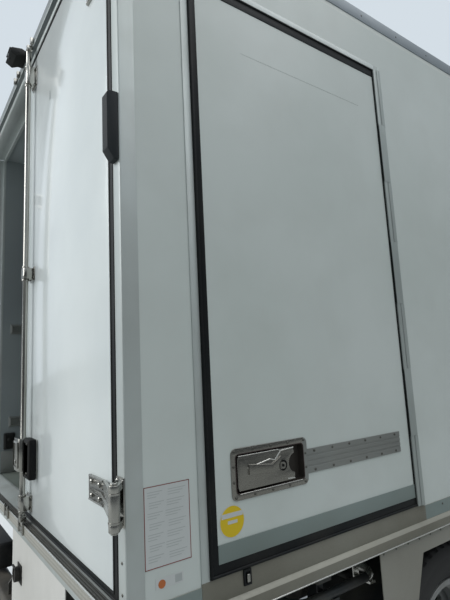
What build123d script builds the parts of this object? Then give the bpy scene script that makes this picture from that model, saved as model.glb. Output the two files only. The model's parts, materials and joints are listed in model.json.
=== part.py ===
from build123d import *
import os
from math import cos, sin, radians

# A light forward-control refrigerated truck, in millimetres.
# X points forward, Y to the left and Z up. The ground is at Z = 0.
# While it is modelled, X is the distance ahead of the rear face of the load
# box. The finished pieces are moved so that the origin lies on the ground in
# the middle of the whole truck.

# Load box
BOX_LENGTH = 4500
BOX_WIDTH = 2250
BOX_FOOT = 892
BOX_TOP = 3161
FLOOR_TOP = 985
SIDE_WALL = 57
FRONT_WALL = 80
ROOF_PANEL = 77
SKIN_INSET = 3
RAIL_LEDGE = 938
RAIL_TOP = 992
RAIL_LIP_PROUD = 12
ROOF_TRIM_HEIGHT = 59
ROOF_TRIM_WIDTH = 40

# Rear frame, and the two leaves hung in it
POST_SIDE = 50
POST_FACE = 46
REAR_FRAME_DEPTH = 95
STOP_DEPTH = 15
STOP_WIDTH = 17
HEADER_HEIGHT = 78
GUTTER_HEIGHT = 51
GUTTER_PROUD = 17
SILL_FOOT = 942
SILL_TOP = 988
SILL_PROUD = 30
SILL_RIBS = 3
LEAF_THICKNESS = 75
LEAF_SILL_GAP = 7
LEAF_GASKET = 40
LEAF_GAP = 1
FOOT_GASKET = 23
HEAD_GASKET = 18
MEETING_GAP = 7
MEETING_GASKET = 8
REAR_PIN_BEHIND = 38
REAR_PIN_OUTSIDE = 24
LOWER_HINGE_ABOVE = 232
UPPER_HINGE_BELOW = 214
HINGE_PIN_RADIUS = 6
PIN_CLEARANCE = 0.05
HINGE_BARREL_RADIUS = 14
HINGE_BARREL_HEIGHT = 72
HINGE_EAR_HEIGHT = 18
HINGE_PLATE_HEIGHT = 120
HINGE_PLATE = 4
HINGE_ARM_START = 130
HINGE_ARM_END = 244
HINGE_ARM_THICKNESS = 7
RUNNING_GAP = 0.5
ROD_FROM_SIDE = 979
ROD_RADIUS = 11.5
ROD_BEHIND = 30
ROD_HEAD_GAP = 34
GUIDE_WIDTH = 52
GUIDE_DEPTH = 44
HANDLE_FOOT = 1195
HANDLE_TOP = 1325
HANDLE_BASE_START = 862
HANDLE_LEVER_END = 1052
HANDLE_DEPTH = 52
BUFFER_BELOW_TOP = 796
BUFFER_HEIGHT = 204
BUFFER_WIDTH = 39
BUFFER_DEPTH = 34
CAMERA_WIDTH = 110
CAMERA_HEIGHT = 70
CAMERA_REACH = 97

# Side door, on the right near the rear
DOOR_START = 272
DOOR_END = 1223
DOOR_SEAL = 30
DOOR_SEAL_TOP = 40
DOOR_SEAL_FOOT = 34
SEAL_FOOT = 1000
DOOR_HEAD = 286
DOOR_THICKNESS = 60
DOOR_FRAME = 26
DOOR_FRAME_BODY = 13
DOOR_BEVEL = 7
DOOR_HINGE_END = 1272
DOOR_PIN_OUTSIDE = 12
DOOR_KNUCKLES = 7
DOOR_KNUCKLE_RADIUS = 10
DOOR_PIN_RADIUS = 4
TRAY_START = 328
TRAY_END = 638
TRAY_FOOT = 1188
TRAY_TOP = 1335
TRAY_RIM = 17
TRAY_DEPTH = 24
TRAY_SHEET = 3
PADDLE_START = 352
PADDLE_END = 580
PADDLE_FOOT = 1212
PADDLE_TOP = 1312
STRIP_END = 1146
STRIP_FOOT = 1218
STRIP_TOP = 1295
KICK_FOOT = 1034
KICK_TOP = 1084
TRIM_SHEET = 3

# Chassis
FRAME_REAR = 70
FRAME_FRONT_SET = 210
FRAME_FOOT = 610
FRAME_TOP = 790
FRAME_WIDTH = 700
FRAME_FLANGE = 75
FRAME_WEB = 7
CROSS_HALF = 35
CROSS_SHEET = 8
TOW_LUG_HEIGHT = 715
TOW_LUG_WIDTH = 36
TOW_PIN_RADIUS = 20
BEARER_TOP = 840
BEARER_WIDTH = 60
CROSS_BEARERS = 9
CROSS_BEARER_WIDTH = 60
REAR_AXLE = 1510
FRONT_AXLE_AHEAD = 510
SIDE_GEAR_BEHIND = 2050
SPRING_WIDTH = 66
SPRING_LEAF = 12
SPRING_LEAVES = 4
SPRING_EYE_HEIGHT = 555
SPRING_EYE_RADIUS = 26
SPRING_REACH = 560
SPRING_SEAT = 440

# Wheels
TYRE_RADIUS = 383.5
TYRE_WIDTH = 211
RIM_SEAT = 222
RIM_FLANGE = 236
RIM_WIDTH = 152
RIM_SHEET = 8
WHEEL_OFFSET = 120
TWIN_INSET = 70
FRONT_WHEEL_Y = 850
HUB_RADIUS = 75
HAND_HOLES = 8
HAND_HOLE_RADIUS = 24
HAND_HOLE_CIRCLE = 160
STUB_RADIUS = 30
SPINDLE_RADIUS = 35
BRAKE_RADIUS = 165
KINGPIN_Y = 770
KINGPIN_RADIUS = 20
AXLE_BOSS = 90
KNUCKLE_EAR = 30
KINGPIN_GAP = 0.5
STEERING_ARM = 145
STEERING_ARM_THICKNESS = 22
ROD_END_RADIUS = 24
ROD_END_HALF = 16
ROD_PIN_RADIUS = 10
TRACK_ROD_DROP = 21
TRACK_ROD_RADIUS = 15

# Cab
CAB_GAP = 100
CAB_LENGTH = 1590
CAB_WIDTH = 2000
CAB_FOOT = 930
CAB_ROOF = 2270
CAB_WALL = 50
GRILLE_DEPTH = 28
CAB_CORNER = 220
CAB_FLOOR = 60
CAB_PIVOT_SET = 95
CAB_PIVOT_Z = 860
CAB_PIN_RADIUS = 18
TUNNEL_TOP = 1190
TUNNEL_HALF = 330
TUNNEL_LENGTH = 970
TUNNEL_SHEET = 30
CAB_DOOR_AHEAD = 490
CAB_PILLAR = 215
CAB_DOOR_FOOT = 975
CAB_DOOR_GAP = 6
CAB_DOOR_PIN_OUTSIDE = 14
CAB_HINGE_HEIGHTS = (1130, 1400)
CAB_HINGE_RADIUS = 11
CAB_HINGE_PIN = 5
CAB_HINGE_EYE = 20
BELT = 1500
GLASS = 6
DRIVER_Y = 480
SEAT_Y = 580
SEAT_WIDTH = 480
BUMPER_FRONT_SET = 20
BUMPER_FOOT = 430
BUMPER_TOP = 880
BUMPER_SHELL = 25
BUMPER_INSET = 12
STEP_BEHIND = 605
STEP_WELL_START = 75
STEP_WELL_END = 335
STEP_HEIGHTS = (480, 700)
STEP_WELL_HEIGHT = 150
LAMP_INSIDE = 560
LAMP_OUTSIDE = 900
LAMP_FOOT = 640
LAMP_TOP = 800
ENGINE_BEHIND = 160
ENGINE_LENGTH = 700
ENGINE_HALF = 270

# Refrigeration unit on the front wall
UNIT_DEPTH = 390
UNIT_WIDTH = 1500
UNIT_HEIGHT = 540
UNIT_BELOW_TOP = 31
UNIT_GRILLE_HALF = 560
UNIT_GRILLE_FOOT = 140
UNIT_GRILLE_HEIGHT = 300

HALF = BOX_WIDTH / 2
SKIN = HALF - SKIN_INSET
WALL_INSIDE = SKIN - SIDE_WALL
ROOF_FOOT = BOX_TOP - SKIN_INSET - ROOF_PANEL
ROOF_TRIM_FOOT = BOX_TOP - ROOF_TRIM_HEIGHT
OPENING_TOP = BOX_TOP - HEADER_HEIGHT
GUTTER_FOOT = BOX_TOP - GUTTER_HEIGHT
LEAF_FOOT = SILL_TOP + LEAF_SILL_GAP + FOOT_GASKET
LEAF_TOP = OPENING_TOP - HEAD_GASKET - LEAF_GAP
REAR_HINGE_HEIGHTS = (LEAF_FOOT + LOWER_HINGE_ABOVE, LEAF_TOP - UPPER_HINGE_BELOW)
ROD_FOOT = SILL_TOP + LEAF_SILL_GAP
ROD_TOP = BOX_TOP - ROD_HEAD_GAP
BUFFER_TOP = BOX_TOP - BUFFER_BELOW_TOP
BUFFER_FOOT = BUFFER_TOP - BUFFER_HEIGHT
SEAL_TOP = BOX_TOP - DOOR_HEAD
UNIT_TOP = BOX_TOP - UNIT_BELOW_TOP
UNIT_FOOT = UNIT_TOP - UNIT_HEIGHT
CAB_REAR = BOX_LENGTH + CAB_GAP
CAB_FRONT = CAB_REAR + CAB_LENGTH
CAB_PIVOT_X = CAB_FRONT - CAB_PIVOT_SET
CAB_DOOR_START = CAB_REAR + CAB_DOOR_AHEAD
CAB_DOOR_END = CAB_FRONT - CAB_PILLAR
TUNNEL_FRONT = CAB_REAR + TUNNEL_LENGTH
BUMPER_FRONT = CAB_FRONT - BUMPER_FRONT_SET
STEP_START = BUMPER_FRONT - STEP_BEHIND
FRAME_FRONT = CAB_FRONT - FRAME_FRONT_SET
FRONT_AXLE = CAB_REAR + FRONT_AXLE_AHEAD
SIDE_GEAR = FRONT_AXLE - SIDE_GEAR_BEHIND
ENGINE_REAR = CAB_REAR + ENGINE_BEHIND
AXLE_HEIGHT = TYRE_RADIUS
FRAME_SIDE = FRAME_WIDTH / 2
SPRING_Y = FRAME_SIDE - SPRING_WIDTH / 2
REAR_PIN = (-REAR_PIN_BEHIND, -HALF - REAR_PIN_OUTSIDE)
DOOR_PIN = ((DOOR_END + DOOR_HINGE_END) / 2, -HALF - DOOR_PIN_OUTSIDE)
CAB_DOOR_PIN = (CAB_DOOR_END - 10, -CAB_WIDTH / 2 - CAB_DOOR_PIN_OUTSIDE)
OUTER_TWIN_Y = HALF - TWIN_INSET - TYRE_WIDTH / 2
INNER_TWIN_Y = OUTER_TWIN_Y - 2 * WHEEL_OFFSET
ARM_FOOT = AXLE_HEIGHT - AXLE_BOSS / 2 - KINGPIN_GAP - KNUCKLE_EAR
ORIGIN_X = (CAB_FRONT - CAMERA_REACH) / 2


# Shapes used again and again


def slab(x0, x1, y0, y1, z0, z1):
    """A block between two corners."""
    middle = Pos((x0 + x1) / 2, (y0 + y1) / 2, (z0 + z1) / 2)
    return middle * Box(abs(x1 - x0), abs(y1 - y0), abs(z1 - z0))


def side_push(face, y0, y1):
    """A flat face drawn in (x, z), carried across from y0 to y1."""
    plane = Plane(origin=(0, y0, 0), x_dir=(1, 0, 0), z_dir=(0, -1, 0))
    return extrude(plane * face, y1 - y0, dir=(0, 1, 0))


def cross_push(face, x0, x1):
    """A flat face drawn in (y, z), carried forward from x0 to x1."""
    plane = Plane(origin=(x0, 0, 0), x_dir=(0, 1, 0), z_dir=(1, 0, 0))
    return extrude(plane * face, x1 - x0, dir=(1, 0, 0))


def plan_push(face, z0, z1):
    """A flat face drawn in (x, y), carried up from z0 to z1."""
    return extrude(Pos(0, 0, z0) * face, z1 - z0, dir=(0, 0, 1))


def side_prism(points, y0, y1):
    return side_push(Polygon(*points, align=None), y0, y1)


def cross_prism(points, x0, x1):
    return cross_push(Polygon(*points, align=None), x0, x1)


def plan_prism(points, z0, z1):
    return plan_push(Polygon(*points, align=None), z0, z1)


def rounded_side_slab(x0, x1, y0, y1, z0, z1, radius):
    """A block whose corners are round when it is seen from the side."""
    face = Pos((x0 + x1) / 2, (z0 + z1) / 2) * RectangleRounded(x1 - x0, z1 - z0, radius)
    return side_push(face, y0, y1)


def rounded_rear_slab(x0, x1, y0, y1, z0, z1, radius):
    """A block whose corners are round when it is seen from behind."""
    face = Pos((y0 + y1) / 2, (z0 + z1) / 2) * RectangleRounded(y1 - y0, z1 - z0, radius)
    return cross_push(face, x0, x1)


def bar(start, end, radius):
    """A round bar between two points."""
    start, end = Vector(*start), Vector(*end)
    plane = Plane(origin=start, z_dir=end - start)
    standing = (Align.CENTER, Align.CENTER, Align.MIN)
    return plane * Cylinder(radius, (end - start).length, align=standing)


def turned(points, x, z):
    """An outline of (y, radius) points, turned about the axle line at x, z."""
    plane = Plane(origin=(x, 0, z), x_dir=(0, 1, 0), z_dir=(1, 0, 0))
    return revolve(plane * Polygon(*points, align=None), Axis((x, 0, z), (0, 1, 0)))


def other_side(shape):
    """The same shape on the other side of the truck."""
    return mirror(shape, about=Plane.XZ)


def both_sides(shape):
    return shape + other_side(shape)


def fuse(shapes):
    """One shape from many."""
    whole = shapes[0]
    return whole.fuse(*shapes[1:]) if len(shapes) > 1 else whole


def group(shapes):
    """Solids that touch but stay separate, as bolted pieces do."""
    return Compound(children=[solid for shape in shapes for solid in shape.solids()])


def save(name, shape):
    """Write one named piece, moved to the truck's own origin."""
    solids = [Pos(-ORIGIN_X, 0, 0) * solid for solid in shape.solids()]
    whole = solids[0] if len(solids) == 1 else Compound(children=solids)
    export_step(whole, f"parts/{name}.step")


# Chassis


def chassis_frame():
    """Two channel rails, with the crossmembers and hangers bolted to them."""
    inner = FRAME_SIDE - FRAME_WEB
    tip = FRAME_SIDE - FRAME_FLANGE
    rail = cross_prism(
        [
            (tip, FRAME_FOOT),
            (FRAME_SIDE, FRAME_FOOT),
            (FRAME_SIDE, FRAME_TOP),
            (tip, FRAME_TOP),
            (tip, FRAME_TOP - FRAME_WEB),
            (inner, FRAME_TOP - FRAME_WEB),
            (inner, FRAME_FOOT + FRAME_WEB),
            (tip, FRAME_FOOT + FRAME_WEB),
        ],
        FRAME_REAR,
        FRAME_FRONT,
    )
    rear_member = FRAME_REAR + CROSS_HALF + 5
    pieces = [rail, other_side(rail), towing_lug(rear_member - CROSS_HALF)]
    for x in (
        rear_member,
        REAR_AXLE - 350,
        REAR_AXLE + 350,
        REAR_AXLE + 1190,
        FRONT_AXLE - 1120,
    ):
        pieces.append(crossmember(x))
    ear = cab_ear()
    pieces.append(fuse([crossmember(FRAME_FRONT - 40), ear, other_side(ear)]))
    for axle in (REAR_AXLE, FRONT_AXLE):
        for end in (-SPRING_REACH, SPRING_REACH):
            hanger = spring_hanger(axle + end)
            pieces += [hanger, other_side(hanger)]
    return group(pieces)


def crossmember(x):
    """A channel between the rails' webs, open to the front."""
    inner = FRAME_SIDE - FRAME_WEB
    foot, top = FRAME_FOOT + 35, FRAME_TOP - 25
    channel = slab(x - CROSS_HALF, x + CROSS_HALF, -inner, inner, foot, top)
    hollow = slab(
        x - CROSS_HALF + CROSS_SHEET,
        x + CROSS_HALF,
        -inner,
        inner,
        foot + CROSS_SHEET,
        top - CROSS_SHEET,
    )
    return channel - hollow


def spring_hanger(x):
    """A plate under the rail with a cheek on either side of the spring's eye."""
    cheek = 7
    inside, outside = SPRING_Y - SPRING_WIDTH / 2, SPRING_Y + SPRING_WIDTH / 2
    pieces = [
        slab(x - 55, x + 55, inside - cheek, outside + cheek, FRAME_FOOT - cheek, FRAME_FOOT)
    ]
    for y in (inside - cheek, outside):
        pieces.append(
            side_prism(
                [
                    (x - 55, FRAME_FOOT),
                    (x - 30, SPRING_EYE_HEIGHT - 30),
                    (x + 30, SPRING_EYE_HEIGHT - 30),
                    (x + 55, FRAME_FOOT),
                ],
                y,
                y + cheek,
            )
        )
    return fuse(pieces)


def towing_lug(face):
    """A pierced lug behind the rearmost crossmember."""
    half = TOW_LUG_WIDTH / 2
    lug = slab(face - 65, face, -half, half, TOW_LUG_HEIGHT - 40, TOW_LUG_HEIGHT + 40)
    x = FRAME_REAR - 32
    hole = bar((x, -half - 1, TOW_LUG_HEIGHT), (x, half + 1, TOW_LUG_HEIGHT), TOW_PIN_RADIUS)
    return lug - hole


def cab_ear():
    """The left ear that carries the cab's pivot pin."""
    inner, outer = FRAME_SIDE - 50, FRAME_SIDE - 20
    start = FRAME_FRONT - 60
    step = FRAME_TOP - FRAME_WEB
    ear = slab(start, CAB_PIVOT_X + 32, inner, outer, 700, CAB_PIVOT_Z + 34)
    ear = ear - slab(start - 1, CAB_PIVOT_X - 60, inner - 1, outer + 1, step, CAB_PIVOT_Z + 35)
    return ear - bar(
        (CAB_PIVOT_X, inner - 10, CAB_PIVOT_Z),
        (CAB_PIVOT_X, outer + 20, CAB_PIVOT_Z),
        CAB_PIN_RADIUS + PIN_CLEARANCE,
    )


def body_bearers():
    """The subframe under the load box: two long bearers and the cross bearers."""
    long_bearer = slab(
        FRAME_REAR, BOX_LENGTH - 60, FRAME_SIDE - BEARER_WIDTH, FRAME_SIDE, FRAME_TOP, BEARER_TOP
    )
    pieces = [long_bearer, other_side(long_bearer)]
    first, last = 180, BOX_LENGTH - 160
    reach = HALF - 20
    taper, tip = 320, 30
    outline = [
        (-reach, BOX_FOOT),
        (-reach, BOX_FOOT - tip),
        (-reach + taper, BEARER_TOP),
        (reach - taper, BEARER_TOP),
        (reach, BOX_FOOT - tip),
        (reach, BOX_FOOT),
    ]
    half = CROSS_BEARER_WIDTH / 2
    for index in range(CROSS_BEARERS):
        x = first + (last - first) * index / (CROSS_BEARERS - 1)
        pieces.append(cross_prism(outline, x - half, x + half))
    return group(pieces)


def leaf_spring(axle):
    """A pack of curved leaves from hanger to hanger, with an eye at each end."""
    inside, outside = SPRING_Y - SPRING_WIDTH / 2, SPRING_Y + SPRING_WIDTH / 2
    pieces = []
    for leaf in range(SPRING_LEAVES):
        reach = SPRING_REACH * (1 - 0.21 * leaf)
        drop = SPRING_EYE_HEIGHT - SPRING_SEAT - SPRING_LEAVES * SPRING_LEAF
        top = SPRING_SEAT + (SPRING_LEAVES - leaf) * SPRING_LEAF
        rise = drop * (reach / SPRING_REACH) ** 2
        with BuildSketch() as outline:
            with BuildLine():
                ThreePointArc((-reach, top + rise), (0, top), (reach, top + rise))
                Line((reach, top + rise), (reach, top + rise - SPRING_LEAF))
                ThreePointArc(
                    (reach, top + rise - SPRING_LEAF),
                    (0, top - SPRING_LEAF),
                    (-reach, top + rise - SPRING_LEAF),
                )
                Line((-reach, top + rise - SPRING_LEAF), (-reach, top + rise))
            make_face()
        pieces.append(side_push(Pos(axle, 0) * outline.sketch, inside, outside))
    for end in (-SPRING_REACH, SPRING_REACH):
        x = axle + end
        pieces.append(
            bar(
                (x, inside, SPRING_EYE_HEIGHT), (x, outside, SPRING_EYE_HEIGHT), SPRING_EYE_RADIUS
            )
        )
    clamp_top = SPRING_SEAT + SPRING_LEAVES * SPRING_LEAF + 14
    for x in (axle - 62, axle + 46):
        pieces.append(slab(x, x + 16, inside - 12, outside + 12, SPRING_SEAT - 30, clamp_top))
    pieces.append(
        slab(axle - 70, axle + 70, inside - 4, outside + 4, SPRING_SEAT - 34, SPRING_SEAT)
    )
    return fuse(pieces)


def front_axle():
    """A dropped I-beam between the kingpins, on two leaf springs."""
    drop_top, drop_foot = SPRING_SEAT - 34, SPRING_SEAT - 124
    boss_top, boss_foot = AXLE_HEIGHT + AXLE_BOSS / 2, AXLE_HEIGHT - AXLE_BOSS / 2
    beam = cross_prism(
        [
            (-KINGPIN_Y, boss_foot),
            (-KINGPIN_Y + 130, boss_foot),
            (-480, drop_foot),
            (480, drop_foot),
            (KINGPIN_Y - 130, boss_foot),
            (KINGPIN_Y, boss_foot),
            (KINGPIN_Y, boss_top),
            (KINGPIN_Y - 110, boss_top),
            (500, drop_top),
            (-500, drop_top),
            (-KINGPIN_Y + 110, boss_top),
            (-KINGPIN_Y, boss_top),
        ],
        FRONT_AXLE - 33,
        FRONT_AXLE + 33,
    )
    for x0, x1 in ((-33, -10), (10, 33)):
        beam = beam - slab(
            FRONT_AXLE + x0, FRONT_AXLE + x1, -470, 470, drop_foot + 18, drop_top - 18
        )
    pieces = [beam]
    for side in (-1, 1):
        y = side * KINGPIN_Y
        pieces.append(bar((FRONT_AXLE, y, boss_foot), (FRONT_AXLE, y, boss_top), 34))
    whole = fuse(pieces)
    for side in (-1, 1):
        y = side * KINGPIN_Y
        whole = whole - bar(
            (FRONT_AXLE, y, boss_foot - 1),
            (FRONT_AXLE, y, boss_top + 1),
            KINGPIN_RADIUS + PIN_CLEARANCE,
        )
    spring = leaf_spring(FRONT_AXLE)
    return fuse([whole, spring, other_side(spring)])


def rear_axle():
    """A tube with a round gear housing in the middle, on two leaf springs."""
    tube_end = INNER_TWIN_Y - TYRE_WIDTH / 2 + 26
    spindle_end = OUTER_TWIN_Y - 20
    axle_line = [
        bar((REAR_AXLE, -tube_end, AXLE_HEIGHT), (REAR_AXLE, tube_end, AXLE_HEIGHT), 60),
        bar(
            (REAR_AXLE, -spindle_end, AXLE_HEIGHT),
            (REAR_AXLE, spindle_end, AXLE_HEIGHT),
            SPINDLE_RADIUS,
        ),
    ]
    cover = turned([(-85, 0), (-85, 120), (-45, 185), (45, 185), (85, 120), (85, 0)], 0, 0)
    cover = Pos(REAR_AXLE, 0, AXLE_HEIGHT) * Rot(0, 0, 90) * cover
    nose = Pos(REAR_AXLE + 60, 0, AXLE_HEIGHT) * Rot(0, 90, 0)
    nose = nose * Cone(120, 58, 240, align=(Align.CENTER, Align.CENTER, Align.MIN))
    pad = slab(
        REAR_AXLE - 60,
        REAR_AXLE + 60,
        SPRING_Y - SPRING_WIDTH / 2,
        SPRING_Y + SPRING_WIDTH / 2,
        AXLE_HEIGHT,
        SPRING_SEAT - 20,
    )
    spring = leaf_spring(REAR_AXLE)
    return fuse(axle_line + [cover, nose, pad, other_side(pad), spring, other_side(spring)])


def driveline():
    """The engine as one plain block, with the gearbox, shaft and radiator."""
    rear, front = ENGINE_REAR, ENGINE_REAR + ENGINE_LENGTH
    engine = slab(rear, front, -ENGINE_HALF, ENGINE_HALF, 450, TUNNEL_TOP - 70)
    engine = chamfer(engine.edges().filter_by(Axis.X).group_by(Axis.Z)[-1], 60)
    gear_axis = Plane(origin=(rear, 0, 650), z_dir=(-1, 0, -0.02))
    gearbox = gear_axis * Cone(200, 130, 510, align=(Align.CENTER, Align.CENTER, Align.MIN))
    nose = REAR_AXLE + 300.3
    shaft = bar((rear - 480, 0, 620), (nose + 12, 0, AXLE_HEIGHT + 1), 42)
    flange = bar((nose, 0, AXLE_HEIGHT), (nose + 16, 0, AXLE_HEIGHT), 56)
    pieces = [engine, gearbox, shaft, flange]
    for x in (rear + 90, front - 160):
        foot = slab(x, x + 80, ENGINE_HALF - 10, FRAME_SIDE - FRAME_WEB, 650, 720)
        pieces += [foot, other_side(foot)]
    between = FRAME_SIDE - FRAME_FLANGE
    radiator = slab(front + 260, front + 320, -between, between, 540, 900)
    return fuse(pieces) + radiator


def fuel_tank():
    """A rounded tank on the right, on two arms, with its straps and cap."""
    inside, outside, foot, top = -FRAME_SIDE - 210, -HALF + 95, 450, 820
    start, end = SIDE_GEAR, SIDE_GEAR + 800
    strap, strap_width = 6, 50
    tank = slab(start, end, outside, inside, foot, top)
    tank = fillet(tank.edges().filter_by(Axis.X), 70)
    pieces, arms = [tank], []
    for x in (start + 150, end - 200):
        band = slab(x, x + strap_width, outside - strap, inside + strap, foot - strap, top + strap)
        pieces.append(fillet(band.edges().filter_by(Axis.X), 75))
        arms.append(
            slab(x, x + strap_width, inside + strap, -FRAME_SIDE, foot + 160, foot + 230)
        )
    neck = bar((end - 120, outside + 60, top - 80), (end - 120, outside - 8, top - 12), 45)
    return group([fuse(pieces + [neck])] + arms)


def battery_box():
    """A ribbed battery box on the left, with two air reservoirs beside it."""
    start, inside, outside, foot, top = SIDE_GEAR, FRAME_SIDE + 210, HALF - 95, 500, 800
    box = slab(start, start + 500, inside, outside, foot, top)
    box = fillet(box.edges().filter_by(Axis.Y), 20)
    for groove in range(4):
        x = start + 90 + groove * 110
        box = box - slab(x, x + 30, outside - 8, outside + 10, foot + 30, top - 30)
    pieces = [box]
    bracket = 50
    for x in (start + 90, start + 390):
        pieces.append(slab(x, x + bracket, FRAME_SIDE, inside, 640, 700))
    tank_start, tank_end, tank_radius = start + 640, start + 1240, 82
    tank_y = FRAME_SIDE + 410
    tanks = []
    for z in (560, 740):
        tank = bar((tank_start, tank_y, z), (tank_end, tank_y, z), tank_radius)
        tanks.append(fillet(tank.edges(), 30))
    for x in (tank_start + 90, tank_end - 140):
        arm = slab(x, x + bracket, FRAME_SIDE, tank_y, 620, 700)
        pieces.append(arm - tanks[0] - tanks[1])
    return group(pieces + tanks)


def exhaust():
    """A silencer on the left below the rail, with its pipes."""
    start, end, y, z = SIDE_GEAR - 610, SIDE_GEAR - 100, FRAME_SIDE + 290, 560
    silencer = fillet(bar((start, y, z), (end, y, z), 130).edges(), 30)
    pipe_y, pipe_end, pipe = y - 40, start - 200, 38
    tail = bar((start + 10, pipe_y, z), (pipe_end, pipe_y, z), pipe)
    elbow = bar((pipe_end + 10, pipe_y, z + 12), (pipe_end + 10, pipe_y, z - 60), pipe)
    bracket = slab(start + 230, start + 280, FRAME_SIDE, y, 640, 680)
    return fuse([silencer, tail, elbow, bracket])


def rear_underrun():
    """The rear underrun beam on its two drop brackets."""
    foot, top, reach = 430, 540, HALF - 45
    beam = slab(-10, 90, -reach, reach, foot, top)
    beam = fillet(beam.edges().filter_by(Axis.Y), 20)
    drop = side_prism(
        [
            (20, top - 40),
            (80, top - 40),
            (200, FRAME_FOOT),
            (200, FRAME_TOP),
            (FRAME_REAR + 2, FRAME_TOP),
            (FRAME_REAR + 2, FRAME_FOOT + 40),
            (20, FRAME_FOOT - 20),
        ],
        FRAME_SIDE,
        FRAME_SIDE + 10,
    )
    return fuse([beam, drop, other_side(drop)])


def lamps():
    """The rear lamp clusters on their bar, and the headlamps."""
    foot, top = 560, 690
    rear = slab(30, 100, FRAME_SIDE + 290, HALF - 65, foot, top)
    rear = fillet(rear.edges().filter_by(Axis.X), 22)
    rear = rear + slab(100, 120, FRAME_SIDE + 10, HALF - 125, foot + 40, foot + 90)
    rear = rear + slab(45, 69, HALF - 305, HALF - 245, 540, foot + 20)
    head = headlamp_form(0.3)
    return both_sides(rear) + both_sides(head)


def headlamp_form(clearance):
    """The headlamp's place in the bumper."""
    shape = rounded_rear_slab(
        BUMPER_FRONT - 270,
        BUMPER_FRONT + 40,
        LAMP_INSIDE + clearance,
        LAMP_OUTSIDE - clearance,
        LAMP_FOOT + clearance,
        LAMP_TOP - clearance,
        40,
    )
    return shape & (bumper_form(4) - bumper_form(BUMPER_SHELL))


def wheel_guards():
    """Curved mudguards over the front and the rear wheels."""
    pieces = []
    table = [
        # axle, inner side, outer side, radius, first angle, last angle
        (REAR_AXLE, INNER_TWIN_Y - 110, OUTER_TWIN_Y + 108, 440, 20, 160),
        (FRONT_AXLE, FRONT_WHEEL_Y - 120, FRONT_WHEEL_Y + 118, 462, 22, 158),
    ]
    sheet = 6
    for axle, inner, outer, radius, first, last in table:
        points = []
        for edge in (radius + sheet, radius):
            ends = (first, (first + last) / 2, last)
            points.append(
                [(edge * cos(radians(a)), AXLE_HEIGHT + edge * sin(radians(a))) for a in ends]
            )
        outside, inside = points
        with BuildSketch() as outline:
            with BuildLine():
                ThreePointArc(*outside)
                Line(outside[2], inside[2])
                ThreePointArc(*reversed(inside))
                Line(inside[0], outside[0])
            make_face()
        guard = side_push(Pos(axle, 0) * outline.sketch, inner, outer)
        arms = []
        for angle in (first + 18, last - 18):
            x = axle + (radius + sheet + 10) * cos(radians(angle))
            z = AXLE_HEIGHT + (radius + sheet + 10) * sin(radians(angle))
            z = min(z, FRAME_TOP - 20)
            arms.append(bar((x, FRAME_SIDE, z), (x, inner + 200, z), 14))
        pieces.append(fuse([guard] + arms))
    return both_sides(pieces[0]) + both_sides(pieces[1])


def side_guards():
    """Two planks a side between the wheels, on uprights from the bearers."""
    start, end = REAR_AXLE + 610, FRONT_AXLE - 590
    outside, inside, back = HALF - 30, HALF - 55, HALF - 80
    foot, plank_height, pitch = 440, 120, 200
    pieces = []
    for z in (foot, foot + pitch):
        plank = slab(start, end, inside, outside, z, z + plank_height)
        for groove in range(1, 4):
            middle = z + plank_height * groove / 4
            plank = plank - slab(
                start - 10, end + 10, outside - 4, outside + 1, middle - 4, middle + 4
            )
        pieces.append(plank)
    for x in (start + 210, SIDE_GEAR - 60, SIDE_GEAR + 890, end - 120):
        pieces.append(slab(x, x + 50, back, inside, foot + 10, BOX_FOOT))
    return both_sides(fuse(pieces))


def skirt_plates():
    """Light plates under the side rails, and one below the sill, right of its middle."""
    outer, inner = SKIN, SKIN - 3
    top, strip_foot, plate_foot = BOX_FOOT, 825, 640
    reach, step, arch = 540, 350, 278
    outline = [
        (REAR_AXLE - reach, top),
        (REAR_AXLE - reach, plate_foot),
        (REAR_AXLE - step, plate_foot),
        (REAR_AXLE - arch, strip_foot),
        (REAR_AXLE + arch, strip_foot),
        (REAR_AXLE + step, plate_foot),
        (REAR_AXLE + reach, plate_foot),
        (REAR_AXLE + reach, top),
    ]
    side = side_prism(outline, inner, outer)
    rear_start, rear_end, rear_foot, sheet = -HALF + 495, 170, 560, 3
    pieces = [slab(0, sheet, rear_start, rear_end, rear_foot, BOX_FOOT)]
    bracket_top = TOW_LUG_HEIGHT - TOW_PIN_RADIUS - 5
    for y in (-FRAME_SIDE + 20, rear_end - 50):
        pieces.append(slab(sheet, FRAME_REAR + 5, y, y + 30, bracket_top - 40, bracket_top))
    return both_sides(side) + fuse(pieces)


def step_tube():
    """The tubular ladder stowed under the floor on the right."""
    radius, height, out = 16.5, 772, HALF - 100
    turn, depth = 60, 480
    with BuildLine() as path:
        FilletPolyline(
            (1058, -out + depth, height),
            (1058, -out, height),
            (640, -out, height),
            (640, -out + depth, height),
            radius=turn,
        )
    start = Plane(origin=path.line @ 0, z_dir=path.line % 0)
    tube = sweep(start * Circle(radius), path.line)
    pieces = [tube]
    for x in (800, 1000):
        pieces.append(slab(x, x + 30, -out + 60, -out + 64, height - 22, BOX_FOOT))
        pieces.append(slab(x, x + 30, -out - 17, -out + 64, height - 22, height - 14))
    return fuse(pieces)


# Load box


def box_floor():
    """The insulated floor between the walls."""
    inside = WALL_INSIDE
    return slab(
        REAR_FRAME_DEPTH, BOX_LENGTH - FRONT_WALL, -inside, inside, BOX_FOOT, FLOOR_TOP
    )


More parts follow.
